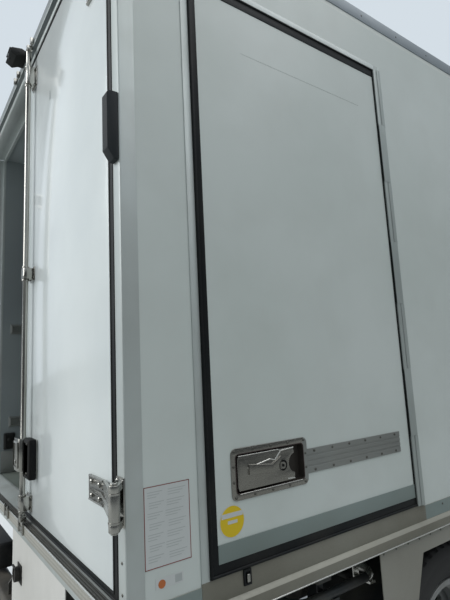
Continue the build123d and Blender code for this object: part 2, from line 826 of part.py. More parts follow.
def side_wall(side):
    """One side wall, with the skin lapped over the rear post."""
    wall = slab(
        REAR_FRAME_DEPTH,
        BOX_LENGTH - FRONT_WALL,
        side * WALL_INSIDE,
        side * SKIN,
        RAIL_LEDGE - 20,
        ROOF_FOOT,
    )
    lap = slab(
        POST_SIDE, REAR_FRAME_DEPTH, side * (SKIN - 4), side * SKIN, RAIL_LEDGE - 20, ROOF_FOOT
    )
    wall = wall + lap
    if side < 0:
        wall = wall - slab(
            DOOR_START - DOOR_SEAL - DOOR_FRAME_BODY,
            DOOR_HINGE_END - DOOR_FRAME_BODY,
            -HALF,
            -WALL_INSIDE + 5,
            BOX_FOOT,
            SEAL_TOP + DOOR_FRAME_BODY,
        )
    return wall


def box_roof():
    """The roof panel, over the walls."""
    return slab(REAR_FRAME_DEPTH, BOX_LENGTH, -SKIN, SKIN, ROOF_FOOT, BOX_TOP - SKIN_INSET)


def front_wall():
    """The front wall, on which the refrigeration unit hangs."""
    return slab(BOX_LENGTH - FRONT_WALL, BOX_LENGTH, -SKIN, SKIN, RAIL_LEDGE - 20, ROOF_FOOT)


def rear_frame():
    """The corner posts, header and ribbed sill round the rear doorway."""
    inner = HALF - POST_FACE
    post = slab(0, POST_SIDE, inner, HALF, BOX_FOOT, BOX_TOP)
    post = fillet(post.edges().filter_by(Axis.Z).group_by(Axis.Y)[-1].sort_by(Axis.X)[0], 5)
    web = slab(POST_SIDE, REAR_FRAME_DEPTH, inner, SKIN - 4, RAIL_LEDGE - 20, ROOF_FOOT)
    stop = slab(
        REAR_FRAME_DEPTH - STOP_DEPTH, REAR_FRAME_DEPTH, WALL_INSIDE, inner, BOX_FOOT, BOX_TOP
    )
    header = slab(0, REAR_FRAME_DEPTH, -inner, inner, OPENING_TOP, BOX_TOP)
    head_stop = slab(
        REAR_FRAME_DEPTH - STOP_DEPTH,
        REAR_FRAME_DEPTH,
        -inner,
        inner,
        OPENING_TOP - STOP_WIDTH,
        OPENING_TOP,
    )
    gutter = cross_section_gutter()
    sill = slab(0, REAR_FRAME_DEPTH, -inner, inner, BOX_FOOT, SILL_TOP)
    lip = side_prism(
        [
            (0, SILL_FOOT),
            (0, SILL_TOP),
            (-SILL_PROUD, SILL_TOP - 3),
            (-SILL_PROUD, SILL_FOOT + 8),
            (-SILL_PROUD + 8, SILL_FOOT),
        ],
        -HALF,
        HALF,
    )
    for rib in range(SILL_RIBS):
        x = -SILL_PROUD + 7 + rib * 8
        lip = lip - slab(x, x + 3, -HALF - 1, HALF + 1, SILL_TOP - 5, SILL_TOP + 1)
    return fuse(
        [
            post,
            other_side(post),
            web,
            other_side(web),
            stop,
            other_side(stop),
            header,
            head_stop,
            gutter,
            sill,
            lip,
        ]
    )


def cross_section_gutter():
    """The rain gutter along the top of the header."""
    return side_prism(
        [
            (0, GUTTER_FOOT),
            (-GUTTER_PROUD, GUTTER_FOOT + 6),
            (-GUTTER_PROUD, BOX_TOP),
            (0, BOX_TOP),
        ],
        -HALF,
        HALF,
    )


def box_rails():
    """The foot rails, roof trims and front corner angles of the box."""
    rail = cross_prism(
        [
            (SKIN - 30, BOX_FOOT),
            (HALF + RAIL_LIP_PROUD, BOX_FOOT),
            (HALF + RAIL_LIP_PROUD, RAIL_LEDGE - 12),
            (HALF, RAIL_LEDGE),
            (HALF, RAIL_TOP),
            (SKIN, RAIL_TOP),
            (SKIN, RAIL_LEDGE - 20),
            (SKIN - 30, RAIL_LEDGE - 20),
        ],
        POST_SIDE,
        BOX_LENGTH,
    )
    door_cut = slab(
        DOOR_START - DOOR_SEAL - DOOR_FRAME,
        DOOR_HINGE_END,
        -HALF - 0.01,
        -SKIN + 1,
        RAIL_LEDGE,
        RAIL_TOP + 1,
    )
    trim = cross_prism(
        [
            (SKIN, ROOF_TRIM_FOOT),
            (HALF, ROOF_TRIM_FOOT),
            (HALF, BOX_TOP - 2),
            (HALF - 2, BOX_TOP),
            (HALF - ROOF_TRIM_WIDTH, BOX_TOP),
            (HALF - ROOF_TRIM_WIDTH, BOX_TOP - SKIN_INSET),
            (SKIN, BOX_TOP - SKIN_INSET),
        ],
        REAR_FRAME_DEPTH,
        BOX_LENGTH,
    )
    angle = slab(BOX_LENGTH - 50, BOX_LENGTH + 3, SKIN, HALF, RAIL_TOP, ROOF_TRIM_FOOT)
    angle = angle + slab(BOX_LENGTH, BOX_LENGTH + 3, HALF - 50, SKIN, RAIL_TOP, ROOF_TRIM_FOOT)
    left = fuse([rail, trim, angle])
    right = other_side(left) - door_cut
    return left + right


def side_door_frame():
    """The profile round the side doorway, with the fixed hinge knuckles."""
    start = DOOR_START - DOOR_SEAL
    outer_flange = slab(
        start - DOOR_FRAME, DOOR_HINGE_END, -HALF, -SKIN, RAIL_LEDGE, SEAL_TOP + DOOR_FRAME
    )
    body = slab(
        start - DOOR_FRAME_BODY,
        DOOR_HINGE_END - DOOR_FRAME_BODY,
        -SKIN,
        -WALL_INSIDE,
        RAIL_LEDGE - 20,
        SEAL_TOP + DOOR_FRAME_BODY,
    )
    hole = slab(start, DOOR_END + 5, -HALF - 1, 0, SEAL_FOOT, SEAL_TOP)
    frame = outer_flange + body - hole
    pieces = [frame] + door_knuckles(0)
    pin = bar((*DOOR_PIN, SEAL_FOOT), (*DOOR_PIN, SEAL_TOP), DOOR_PIN_RADIUS)
    return fuse(pieces + [pin])


def door_knuckles(first):
    """Every other knuckle of the side door's full-height hinge."""
    height = (SEAL_TOP - SEAL_FOOT) / DOOR_KNUCKLES
    x, y = DOOR_PIN
    shapes = []
    for index in range(first, DOOR_KNUCKLES, 2):
        foot = SEAL_FOOT + index * height + RUNNING_GAP
        top = SEAL_FOOT + (index + 1) * height - RUNNING_GAP
        barrel = bar((x, y, foot), (x, y, top), DOOR_KNUCKLE_RADIUS)
        if first == 0:
            flange = slab(x, DOOR_HINGE_END, y - 4, -HALF, foot, top)
            shapes.append(barrel + flange)
        else:
            flange = slab(DOOR_END - 8, x, y - 4, y + 2, foot, top)
            flange = flange + slab(DOOR_END - 8, DOOR_END, y - 4, -HALF, foot, top)
            bore = bar((x, y, foot), (x, y, top), DOOR_PIN_RADIUS + PIN_CLEARANCE)
            shapes.append(barrel + flange - bore)
    return shapes


def rubber_buffers():
    """A tall rubber buffer on each corner post, bevelled at its foot."""
    outer, inner = HALF - 2, HALF - 2 - BUFFER_WIDTH
    buffer = side_prism(
        [
            (0, BUFFER_FOOT),
            (0, BUFFER_TOP),
            (-BUFFER_DEPTH + 8, BUFFER_TOP),
            (-BUFFER_DEPTH, BUFFER_TOP - 8),
            (-BUFFER_DEPTH, BUFFER_FOOT + 30),
            (-BUFFER_DEPTH + 20, BUFFER_FOOT),
        ],
        inner,
        outer,
    )
    return both_sides(buffer)


def reversing_camera():
    """A camera in a faceted housing at the middle of the header."""
    half = CAMERA_WIDTH / 2
    middle = (GUTTER_FOOT + BOX_TOP) / 2
    foot = middle - CAMERA_HEIGHT / 2
    return side_prism(
        [
            (-GUTTER_PROUD, middle - 14),
            (-GUTTER_PROUD - 22, middle - 14),
            (-CAMERA_REACH + 30, foot),
            (-CAMERA_REACH, foot + 26),
            (-CAMERA_REACH + 8, foot + CAMERA_HEIGHT - 12),
            (-GUTTER_PROUD - 26, foot + CAMERA_HEIGHT),
            (-GUTTER_PROUD, foot + CAMERA_HEIGHT - 14),
        ],
        -half,
        half,
    )


# Rear doors. They are drawn closed on the right, and the left one is then
# mirrored and folded back against the side of the box.


def rear_leaf():
    """The insulated panel of one rear leaf."""
    start = HALF - POST_FACE - LEAF_GASKET
    end = MEETING_GAP + MEETING_GASKET
    return slab(0, LEAF_THICKNESS, -start, -end, LEAF_FOOT, LEAF_TOP)


def rear_gasket():
    """The rubber round the edge of one rear leaf."""
    outer = slab(
        2,
        LEAF_THICKNESS + 2,
        -(HALF - POST_FACE - LEAF_GAP),
        -MEETING_GAP,
        LEAF_FOOT - FOOT_GASKET,
        LEAF_TOP + HEAD_GASKET,
    )
    inner = slab(
        0,
        LEAF_THICKNESS + 5,
        -(HALF - POST_FACE - LEAF_GASKET),
        -MEETING_GAP - MEETING_GASKET,
        LEAF_FOOT,
        LEAF_TOP,
    )
    return outer - inner


def rear_hinge_posts():
    """The fixed half of each rear hinge: post plate, two ears and the pin."""
    x, y = REAR_PIN
    pieces = []
    for height in REAR_HINGE_HEIGHTS:
        foot = height - HINGE_PLATE_HEIGHT / 2
        top = height + HINGE_PLATE_HEIGHT / 2
        face = -HALF + POST_FACE
        plate = slab(-HINGE_PLATE, 0, -HALF, face - 1, foot, top)
        parts = [plate]
        barrel_half = HINGE_BARREL_HEIGHT / 2
        for z0, z1 in (
            (height - barrel_half - HINGE_EAR_HEIGHT, height - barrel_half),
            (height + barrel_half, height + barrel_half + HINGE_EAR_HEIGHT),
        ):
            parts.append(bar((x, y, z0), (x, y, z1), HINGE_BARREL_RADIUS))
            parts.append(
                plan_prism(
                    [
                        (x - 8, y + 9),
                        (x + 10, y - 9),
                        (-HINGE_PLATE, -HALF + 2),
                        (0, -HALF + 2),
                        (0, -HALF + 30),
                        (-HINGE_PLATE, -HALF + 30),
                    ],
                    z0,
                    z1,
                )
            )
        parts.append(
            bar(
                (x, y, height - barrel_half - HINGE_EAR_HEIGHT),
                (x, y, height + barrel_half + HINGE_EAR_HEIGHT),
                HINGE_PIN_RADIUS,
            )
        )
        pieces.append(fuse(parts))
    return both_sides(pieces[0] + pieces[1])


def rear_fittings():
    """Hinge arms, lock rod, guides, keepers' cams and handle of one leaf."""
    x, y = REAR_PIN
    parts = []
    for height in REAR_HINGE_HEIGHTS:
        half = HINGE_BARREL_HEIGHT / 2 - RUNNING_GAP
        z0, z1 = height - half, height + half
        barrel = bar((x, y, z0), (x, y, z1), HINGE_BARREL_RADIUS)
        start, end = -HALF + HINGE_ARM_START, -HALF + HINGE_ARM_END
        arm = plan_prism(
            [
                (x - HINGE_ARM_THICKNESS, y + 4),
                (x + HINGE_ARM_THICKNESS, y + 4),
                (0, start),
                (0, end),
                (-HINGE_ARM_THICKNESS, end),
                (-HINGE_ARM_THICKNESS, start),
            ],
            z0,
            z1,
        )
        rib = plan_prism(
            [(x - 9, y + 6), (-14, start), (-10, end - 20), (0, end - 20), (0, start)],
            height - 5,
            height + 5,
        )
        bore = bar((x, y, z0 - 1), (x, y, z1 + 1), HINGE_PIN_RADIUS + PIN_CLEARANCE)
        parts.append(fuse([barrel, arm, rib]) - bore)
    rod_y = -HALF + ROD_FROM_SIDE
    rod_x = -ROD_BEHIND
    lock = [bar((rod_x, rod_y, ROD_FOOT), (rod_x, rod_y, ROD_TOP), ROD_RADIUS)]
    guides = [
        # foot, height
        (LEAF_FOOT + 22, 53),
        ((LEAF_FOOT + LEAF_TOP) / 2 - 41, 48),
        (LEAF_TOP - 139, 85),
    ]
    for foot, height in guides:
        y0, y1 = rod_y - GUIDE_WIDTH / 2, rod_y + GUIDE_WIDTH / 2
        guide = slab(-GUIDE_DEPTH, 0, y0, y1, foot, foot + height)
        lock.append(fillet(guide.edges().filter_by(Axis.Z).group_by(Axis.X)[0], 14))
    for z in (ROD_FOOT + 4, ROD_TOP - 30):
        lock.append(slab(rod_x - 12, rod_x + 12, rod_y - 22, rod_y + 6, z, z + 22))
    base = slab(
        -30, 0, -HALF + HANDLE_BASE_START, rod_y - 14, HANDLE_FOOT - 20, HANDLE_TOP
    )
    base = fillet(base.edges().filter_by(Axis.Z).group_by(Axis.X)[0], 10)
    lever = slab(
        -HANDLE_DEPTH,
        -8,
        rod_y - 22,
        -HALF + HANDLE_LEVER_END,
        HANDLE_FOOT,
        HANDLE_TOP,
    )
    lever = fillet(lever.edges().filter_by(Axis.Z).group_by(Axis.X)[0], 16)
    lock += [base, lever]
    return fuse(lock) + parts[0] + parts[1]


def rod_keepers():
    """Cheeks on the sill and header, between which the rods' ends lie."""
    rod_y = -HALF + ROD_FROM_SIDE
    half, cheek, sheet = 40, 12, 4
    keepers = []
    table = [
        # face it stands on, how far it stands out, foot, top, plate's foot, plate's top
        (-SILL_PROUD, 8, SILL_FOOT + 10, SILL_TOP + 16, SILL_FOOT + 10, SILL_TOP - 12),
        (-GUTTER_PROUD, 16, GUTTER_FOOT + 8, BOX_TOP - 11, BOX_TOP - 27, BOX_TOP - 11),
    ]
    for face, proud, foot, top, plate_foot, plate_top in table:
        parts = [slab(face - sheet, face, rod_y - half, rod_y + half, plate_foot, plate_top)]
        for y in (rod_y - half, rod_y + half - cheek):
            parts.append(slab(face - proud, face, y, y + cheek, foot, top))
        keepers.append(fuse(parts))
    return both_sides(keepers[0] + keepers[1])


def folded_left(shape):
    """A rear leaf's piece on the left, swung right round against the side."""
    x, y = REAR_PIN
    return Pos(x, -y, 0) * Rot(0, 0, -270) * Pos(-x, y, 0) * other_side(shape)


# Side door


def side_door_leaf():
    """The insulated side leaf, with a pocket for the handle tray."""
    leaf = slab(
        DOOR_START,
        DOOR_END,
        -HALF,
        -HALF + DOOR_THICKNESS,
        SEAL_FOOT + DOOR_SEAL_FOOT,
        SEAL_TOP - DOOR_SEAL_TOP,
    )
    pocket = slab(
        TRAY_START + TRAY_RIM - TRAY_SHEET,
        TRAY_END - TRAY_RIM + TRAY_SHEET,
        -HALF - 1,
        -HALF + TRAY_DEPTH + TRAY_SHEET,
        TRAY_FOOT + TRAY_RIM - TRAY_SHEET,
        TRAY_TOP - TRAY_RIM + TRAY_SHEET,
    )
    return leaf - pocket


def side_door_seal():
    """The black seal on three sides of the leaf, bevelled where it swings."""
    start = DOOR_START - DOOR_SEAL + LEAF_GAP
    back = -HALF + DOOR_THICKNESS
    outer = plan_prism(
        [
            (start, -HALF - 2),
            (DOOR_END, -HALF - 2),
            (DOOR_END, back),
            (start + DOOR_BEVEL, back),
        ],
        SEAL_FOOT + LEAF_GAP,
        SEAL_TOP - LEAF_GAP,
    )
    inner = slab(
        DOOR_START,
        DOOR_END + 1,
        -HALF - 5,
        back + 5,
        SEAL_FOOT + DOOR_SEAL_FOOT,
        SEAL_TOP - DOOR_SEAL_TOP,
    )
    return outer - inner


def side_door_fittings():
    """The handle tray, paddle, ribbed strip, kick band and moving knuckles."""
    tray = rounded_side_slab(
        TRAY_START, TRAY_END, -HALF - TRAY_SHEET, -HALF, TRAY_FOOT, TRAY_TOP, 18
    )
    recess = (
        TRAY_START + TRAY_RIM,
        TRAY_END - TRAY_RIM,
        TRAY_FOOT + TRAY_RIM,
        TRAY_TOP - TRAY_RIM,
    )
    bowl = slab(
        recess[0] - TRAY_SHEET,
        recess[1] + TRAY_SHEET,
        -HALF,
        -HALF + TRAY_DEPTH + TRAY_SHEET,
        recess[2] - TRAY_SHEET,
        recess[3] + TRAY_SHEET,
    )
    hollow = rounded_side_slab(
        recess[0], recess[1], -HALF - TRAY_SHEET, -HALF + TRAY_DEPTH, recess[2], recess[3], 12
    )
    paddle = rounded_side_slab(
        PADDLE_START, PADDLE_END, -HALF - 2, -HALF + 6, PADDLE_FOOT, PADDLE_TOP, 14
    )
    notch_z = (PADDLE_FOOT + PADDLE_TOP) / 2
    notch = bar((PADDLE_END + 6, -HALF - 3, notch_z), (PADDLE_END + 6, -HALF + 7, notch_z), 30)
    ridge = side_prism(
        [
            (PADDLE_START + 40, notch_z + 22),
            (PADDLE_START + 130, notch_z + 10),
            (PADDLE_END - 60, notch_z + 30),
            (PADDLE_END - 60, notch_z - 12),
            (PADDLE_START + 130, notch_z - 16),
            (PADDLE_START + 40, notch_z - 8),
        ],
        -HALF - 8,
        -HALF,
    )
    lock_x = PADDLE_END - 54
    lock = bar((lock_x, -HALF - 6, notch_z), (lock_x, -HALF + 6, notch_z), 10)
    stem = bar((lock_x - 90, -HALF + 5, notch_z), (lock_x - 90, -HALF + TRAY_DEPTH, notch_z), 14)
    paddle = fuse([paddle - notch, ridge, lock, stem])
    handle = fuse([tray + bowl - hollow, paddle])
    strip = slab(TRAY_END, STRIP_END, -HALF - TRIM_SHEET, -HALF, STRIP_FOOT, STRIP_TOP)
    for share in (0.28, 0.5, 0.72):
        z = STRIP_FOOT + (STRIP_TOP - STRIP_FOOT) * share
        strip = strip - slab(TRAY_END - 1, STRIP_END + 1, -HALF - 4, -HALF - 1.5, z - 3, z + 3)
    kick = slab(DOOR_START, DOOR_END, -HALF - TRIM_SHEET, -HALF, KICK_FOOT, KICK_TOP)
    shapes = fuse([handle, strip]) + kick
    for knuckle in door_knuckles(1):
        shapes = shapes + knuckle
    return shapes


# Refrigeration unit


def unit_form(inset):
    """The housing's outside, from its side and its plan outlines."""
    x0, x1 = BOX_LENGTH, BOX_LENGTH + UNIT_DEPTH - inset
    half = UNIT_WIDTH / 2 - inset
    side = side_prism(
        [
            (x0, UNIT_FOOT + inset),
            (x1 - 90, UNIT_FOOT + inset),
            (x1, UNIT_FOOT + 110 + inset),
            (x1 - 30, UNIT_TOP - 40 - inset),
            (x1 - 90, UNIT_TOP - inset),
            (x0, UNIT_TOP - inset),
        ],
        -half,
        half,
    )
    corner = 130
    plan = plan_prism(
        [
            (x0, -half),
            (x1 - corner, -half),
            (x1 - 38, -half + 38),
            (x1, -half + corner),
            (x1, half - corner),
            (x1 - 38, half - 38),
            (x1 - corner, half),
            (x0, half),
        ],
        UNIT_FOOT,
        UNIT_TOP,
    )
    return side & plan


def refrigeration_unit():
    """The unit's housing, recessed for the condenser grille and side louvres."""
    front = BOX_LENGTH + UNIT_DEPTH
    grille_foot = UNIT_FOOT + UNIT_GRILLE_FOOT
    shape = unit_form(0) - slab(
        front - 60,
        front + 10,
        -UNIT_GRILLE_HALF,
        UNIT_GRILLE_HALF,
        grille_foot,
        grille_foot + UNIT_GRILLE_HEIGHT,
    )
    start, end, depth = BOX_LENGTH + 80, BOX_LENGTH + 220, 12
    for side in (-1, 1):
        edge = side * UNIT_WIDTH / 2
        for row in range(6):
            z = UNIT_FOOT + 170 + row * 42
            shape = shape - slab(start, end, edge - side * depth, edge + side, z, z + 18)
    return shape


def unit_grille():
    """The condenser grille: a frame with level louvres and three uprights."""
    x0, x1 = BOX_LENGTH + UNIT_DEPTH - 60, BOX_LENGTH + UNIT_DEPTH - 34
    half, border = UNIT_GRILLE_HALF - 1, 20
    foot = UNIT_FOOT + UNIT_GRILLE_FOOT + 1
    top = foot + UNIT_GRILLE_HEIGHT - 2
    frame = slab(x0, x1, -half, half, foot, top) - slab(
        x0 - 1, x1 + 1, -half + border, half - border, foot + border, top - border
    )
    pieces = [frame]
    reach = half - border + 1
    for row in range(10):
        z = foot + 37 + row * 24
        pieces.append(
            side_prism([(x0, z + 9), (x1, z - 3), (x1, z + 1), (x0, z + 13)], -reach, reach)
        )
    for y in (-reach / 2, 0, reach / 2):
        pieces.append(
            slab(x0 + 2, x1 - 4, y - 5, y + 5, foot + border - 1, top - border + 1)
        )
    return fuse(pieces)


def evaporator():
    """The evaporator under the ceiling at the front of the load space."""
    x1 = BOX_LENGTH - FRONT_WALL
    x0 = x1 - 330
    body = side_prism(
        [(x1, ROOF_FOOT), (x0, ROOF_FOOT), (x0, ROOF_FOOT - 190), (x1, ROOF_FOOT - 240)],
        -520,
        520,
    )
    for y in (-260, 260):
        mouth = bar((x0 - 1, y, ROOF_FOOT - 98), (x0 + 40, y, ROOF_FOOT - 98), 80)
        core = bar((x0, y, ROOF_FOOT - 98), (x0 + 40, y, ROOF_FOOT - 98), 30)
        body = body - mouth + core
    return body


# Cab


def cab_form(inset):
    """The cab's outside, shrunk by inset: side, front and plan outlines."""
    side = [
        (CAB_REAR, CAB_FOOT),
        (CAB_REAR, CAB_ROOF - 60),
        (CAB_REAR + 60, CAB_ROOF),
        (CAB_FRONT - 420, CAB_ROOF),
        (CAB_FRONT - 330, CAB_ROOF - 60),
        (CAB_FRONT - 60, BELT - 60),
        (CAB_FRONT, CAB_FOOT + 120),
        (CAB_FRONT, CAB_FOOT),
    ]
    half = CAB_WIDTH / 2
    front = [
        (-half, CAB_FOOT - 100),
        (-half, BELT - 40),
        (-half + 70, CAB_ROOF - 110),
        (-half + 110, CAB_ROOF - 35),
        (-half + 190, CAB_ROOF),
        (half - 190, CAB_ROOF),
        (half - 110, CAB_ROOF - 35),
        (half - 70, CAB_ROOF - 110),
        (half, BELT - 40),
        (half, CAB_FOOT - 100),
    ]
    side_face = shrunk(Polygon(*side, align=None), inset)
    front_face = shrunk(Polygon(*front, align=None), inset)
    plan_face = plan_outline(CAB_REAR, CAB_FRONT, half, CAB_CORNER, inset)
    body = side_push(side_face, -half, half)
    body = body & cross_push(front_face, CAB_REAR - 10, CAB_FRONT + 10)
    return body & plan_push(plan_face, CAB_FOOT - 10, CAB_ROOF + 10)


def shrunk(face, inset):
    """A flat outline moved inwards, with its corners kept."""
    if not inset:
        return face
    return offset(face, amount=-inset, kind=Kind.INTERSECTION)


def plan_outline(rear, front, half, corner, inset):
    """The cab's outline from above, round at its two front corners."""
    rear, front, half, corner = rear + inset, front - inset, half - inset, corner - inset
    with BuildSketch() as outline:
        with BuildLine():
            Line((rear, -half), (front - corner, -half))
            RadiusArc((front - corner, -half), (front - 12, -half + corner), -corner)
            ThreePointArc(
                (front - 12, -half + corner), (front, 0), (front - 12, half - corner)
            )
            RadiusArc((front - 12, half - corner), (front - corner, half), -corner)
            Line((front - corner, half), (rear, half))
            Line((rear, half), (rear, -half))
        make_face()
    return outline.sketch


def door_region(gap):
    """The side view of the cab doorway, made smaller all round by gap."""
    corner = 60
    outline = Polygon(
        (CAB_DOOR_START, CAB_DOOR_FOOT),
        (CAB_DOOR_END, CAB_DOOR_FOOT),
        (CAB_DOOR_END, BELT - 20),
        (CAB_DOOR_END - 215, CAB_ROOF - 130),
        (CAB_DOOR_START, CAB_ROOF - 130),
        align=None,
    )
    outline = fillet(outline.vertices().sort_by(Axis.X)[0:2], corner)
    return side_push(shrunk(outline, gap), -CAB_WIDTH / 2 - 50, -CAB_WIDTH / 2 + 130)


def door_window_region(gap):
    """The side view of the window in the cab door."""
    outline = Polygon(
        (CAB_DOOR_START + 75, BELT),
        (CAB_DOOR_END - 90, BELT),
        (CAB_DOOR_END - 260, CAB_ROOF - 190),
        (CAB_DOOR_START + 75, CAB_ROOF - 190),
        align=None,
    )
    outline = fillet(outline.vertices(), 35)
    return side_push(shrunk(outline, gap), -CAB_WIDTH / 2 - 50, -CAB_WIDTH / 2 + 180)


def windscreen_region(gap):
    """The front view of the windscreen opening."""
    outline = Polygon(
        (-880, BELT + 10), (880, BELT + 10), (800, CAB_ROOF - 95), (-800, CAB_ROOF - 95), align=None
    )
    outline = fillet(outline.vertices(), 70)
    return cross_push(shrunk(outline, gap), CAB_FRONT - 480, CAB_FRONT + 100)


def rear_window_region(start, end, gap):
    """The window in the cab's back."""
    half, foot, top = 420 - gap, CAB_ROOF - 650 + gap, CAB_ROOF - 230 - gap
    return rounded_rear_slab(start, end, -half, half, foot, top, 60 - gap)


def cab_shell(outer, inner):
    """The hollow cab: walls, floor with its engine tunnel, and roof."""
    half = CAB_WIDTH / 2
    room = slab(CAB_REAR, CAB_FRONT, -half, half, CAB_FOOT + CAB_FLOOR, CAB_ROOF)
    shell = outer - (inner & room)
    doorway = door_region(0)
    shell = shell - doorway - other_side(doorway) - windscreen_region(0)
    tunnel = slab(
        CAB_REAR + 10, TUNNEL_FRONT, -TUNNEL_HALF, TUNNEL_HALF, CAB_FOOT + 10, TUNNEL_TOP
    )
    hollow = slab(
        CAB_REAR - 1,
        TUNNEL_FRONT - TUNNEL_SHEET,
        -TUNNEL_HALF + TUNNEL_SHEET,
        TUNNEL_HALF - TUNNEL_SHEET,
        CAB_FOOT - 1,
        TUNNEL_TOP - TUNNEL_SHEET,
    )
    shell = shell + tunnel - hollow
    shell = shell - rear_window_region(CAB_REAR - 5, CAB_REAR + 80, 0)
    grille_pocket = rounded_rear_slab(
        CAB_FRONT - 60, CAB_FRONT + 40, -560, 560, CAB_FOOT + 60, CAB_FOOT + 330, 50
    )
    shell = shell - (grille_pocket - cab_form(GRILLE_DEPTH))
    arm = side_prism(
        [
            (CAB_PIVOT_X - 30, CAB_PIVOT_Z),
            (CAB_PIVOT_X - 90, CAB_FOOT + 10),
            (CAB_PIVOT_X + 6, CAB_FOOT + 10),
            (CAB_PIVOT_X + 6, CAB_PIVOT_Z + 30),
            (CAB_PIVOT_X + 28, CAB_PIVOT_Z + 8),
            (CAB_PIVOT_X + 28, CAB_PIVOT_Z - 12),
            (CAB_PIVOT_X, CAB_PIVOT_Z - 30),
        ],
        FRAME_SIDE - 85,
        FRAME_SIDE - 55,
    )
    pin = bar(
        (CAB_PIVOT_X, FRAME_SIDE - 80, CAB_PIVOT_Z),
        (CAB_PIVOT_X, FRAME_SIDE - 20, CAB_PIVOT_Z),
        CAB_PIN_RADIUS,
    )
    arm = arm + pin
    hinges = cab_hinge(False)
    hinges += [other_side(hinge) for hinge in hinges]
    return fuse([shell, arm, other_side(arm)] + hinges)


def cab_grille():
    """Level slats in the pocket at the front of the cab."""
    band = cab_form(4) - cab_form(27)
    region = rounded_rear_slab(
        CAB_FRONT - 100, CAB_FRONT + 40, -557, 557, CAB_FOOT + 63, CAB_FOOT + 327, 47
    )
    hole = rounded_rear_slab(
        CAB_FRONT - 100, CAB_FRONT + 40, -530, 530, CAB_FOOT + 88, CAB_FOOT + 302, 30
    )
    frame = band & (region - hole)
    backing = (cab_form(18) - cab_form(27)) & region
    pieces = [frame, backing]
    for row in range(5):
        z = CAB_FOOT + 104 + row * 40
        pieces.append(band & slab(CAB_FRONT - 100, CAB_FRONT + 10, -535, 535, z, z + 20))
    return fuse(pieces)


def cab_door(outer, inner):
    """The right cab door, cut from the same skin as the cab."""
    ring = (outer - inner) & door_region(CAB_DOOR_GAP)
    return fuse([ring - door_window_region(0)] + cab_hinge(True))


def cab_hinge(moving):
    """The right door's hinges: the eyes on the door, or the cab's ears and pin."""
    x, y = CAB_DOOR_PIN
    skin = -CAB_WIDTH / 2
    half = CAB_HINGE_EYE / 2
    pieces = []
    for height in CAB_HINGE_HEIGHTS:
        if moving:
            foot, top = height - half + RUNNING_GAP, height + half - RUNNING_GAP
            eye = bar((x, y, foot), (x, y, top), CAB_HINGE_RADIUS)
            strap = slab(x - 50, x, y - 5, skin + 2, foot, top)
            strap = strap - slab(x - 22, x + 1, y + 5, skin + 3, foot - 1, top + 1)
            bore = bar((x, y, foot - 1), (x, y, top + 1), CAB_HINGE_PIN + PIN_CLEARANCE)
            pieces.append(eye + strap - bore)
        else:
            foot, top = height - half - CAB_HINGE_EYE, height + half + CAB_HINGE_EYE
            parts = [bar((x, y, foot), (x, y, top), CAB_HINGE_PIN)]
            for z0, z1 in ((foot, height - half), (height + half, top)):
                parts.append(bar((x, y, z0), (x, y, z1), CAB_HINGE_RADIUS))
                parts.append(slab(x, x + 44, y - 5, y + 5, z0, z1))
                parts.append(slab(x + 20, x + 44, y - 5, skin + 8, z0, z1))
            pieces.append(fuse(parts))
    return pieces


def cab_door_glass():
    """The right door's window pane."""
    return (cab_form(10) - cab_form(10 + GLASS)) & door_window_region(0.3)


def windscreen():
    """The windscreen, curved with the cab's front."""
    glass = (cab_form(3) - cab_form(3 + GLASS)) & windscreen_region(0.3)
    return glass + rear_window_region(CAB_REAR + 3, CAB_REAR + 3 + GLASS, 0.3)


def dashboard():
    """The dashboard with its cowl and the steering wheel on its column."""
    floor = CAB_FOOT + CAB_FLOOR
    board = side_prism(
        [
            (CAB_FRONT - 180, floor + 300),
            (CAB_FRONT - 130, BELT - 80),
            (CAB_FRONT - 200, BELT - 40),
            (CAB_FRONT - 390, BELT - 90),
            (CAB_FRONT - 420, BELT - 170),
            (CAB_FRONT - 310, floor + 300),
        ],
        -CAB_WIDTH / 2 + 70,
        CAB_WIDTH / 2 - 70,
    )
    board = board & cab_form(CAB_WALL + 4)
    wheel_x, wheel_y = CAB_FRONT - 550, DRIVER_Y
    lean = Plane(origin=(wheel_x, wheel_y, BELT - 60), x_dir=(0, 1, 0), z_dir=(-0.5, 0, 1))
    rim = lean * Torus(215, 15)
    hub = lean * Cylinder(45, 40)
    spokes = []
    for turn in (90, 210, 330):
        spokes.append(lean * Rot(0, 0, turn) * Pos(110, 0, 0) * Box(200, 34, 14))
    column = bar((wheel_x + 10, wheel_y, BELT - 80), (wheel_x + 220, wheel_y, floor + 270), 32)
    reach = CAB_WIDTH / 2 - 100
    brace = slab(CAB_FRONT - 310, CAB_FRONT - 250, -reach, reach, floor, floor + 310)
    brace = brace & cab_form(CAB_WALL + 4)
    return fuse([board, brace, rim, hub, column] + spokes)


def seats():
    """Two seats: for each its base, its cushion and its leaning back."""
    floor, start = CAB_FOOT + CAB_FLOOR, CAB_REAR + 300
    cushion_foot, cushion_top, back_top = floor + 240, floor + 380, floor + 1000
    seat_gap = 0.3
    shapes = []
    for middle in (SEAT_Y, -SEAT_Y):
        y0, y1 = middle - SEAT_WIDTH / 2, middle + SEAT_WIDTH / 2
        base = slab(start + 60, start + 480, y0 + 60, y1 - 60, floor, cushion_foot)
        cushion = slab(start, start + 520, y0, y1, cushion_foot + seat_gap, cushion_top)
        cushion = fillet(cushion.edges().filter_by(Axis.Y), 40)
        back = side_prism(
            [
                (start - 10, cushion_top + seat_gap),
                (start + 110, cushion_top + seat_gap),
                (start - 10, back_top),
                (start - 110, back_top),
            ],
            y0,
            y1,
        )
        shapes.append((base, cushion, back))
    return shapes


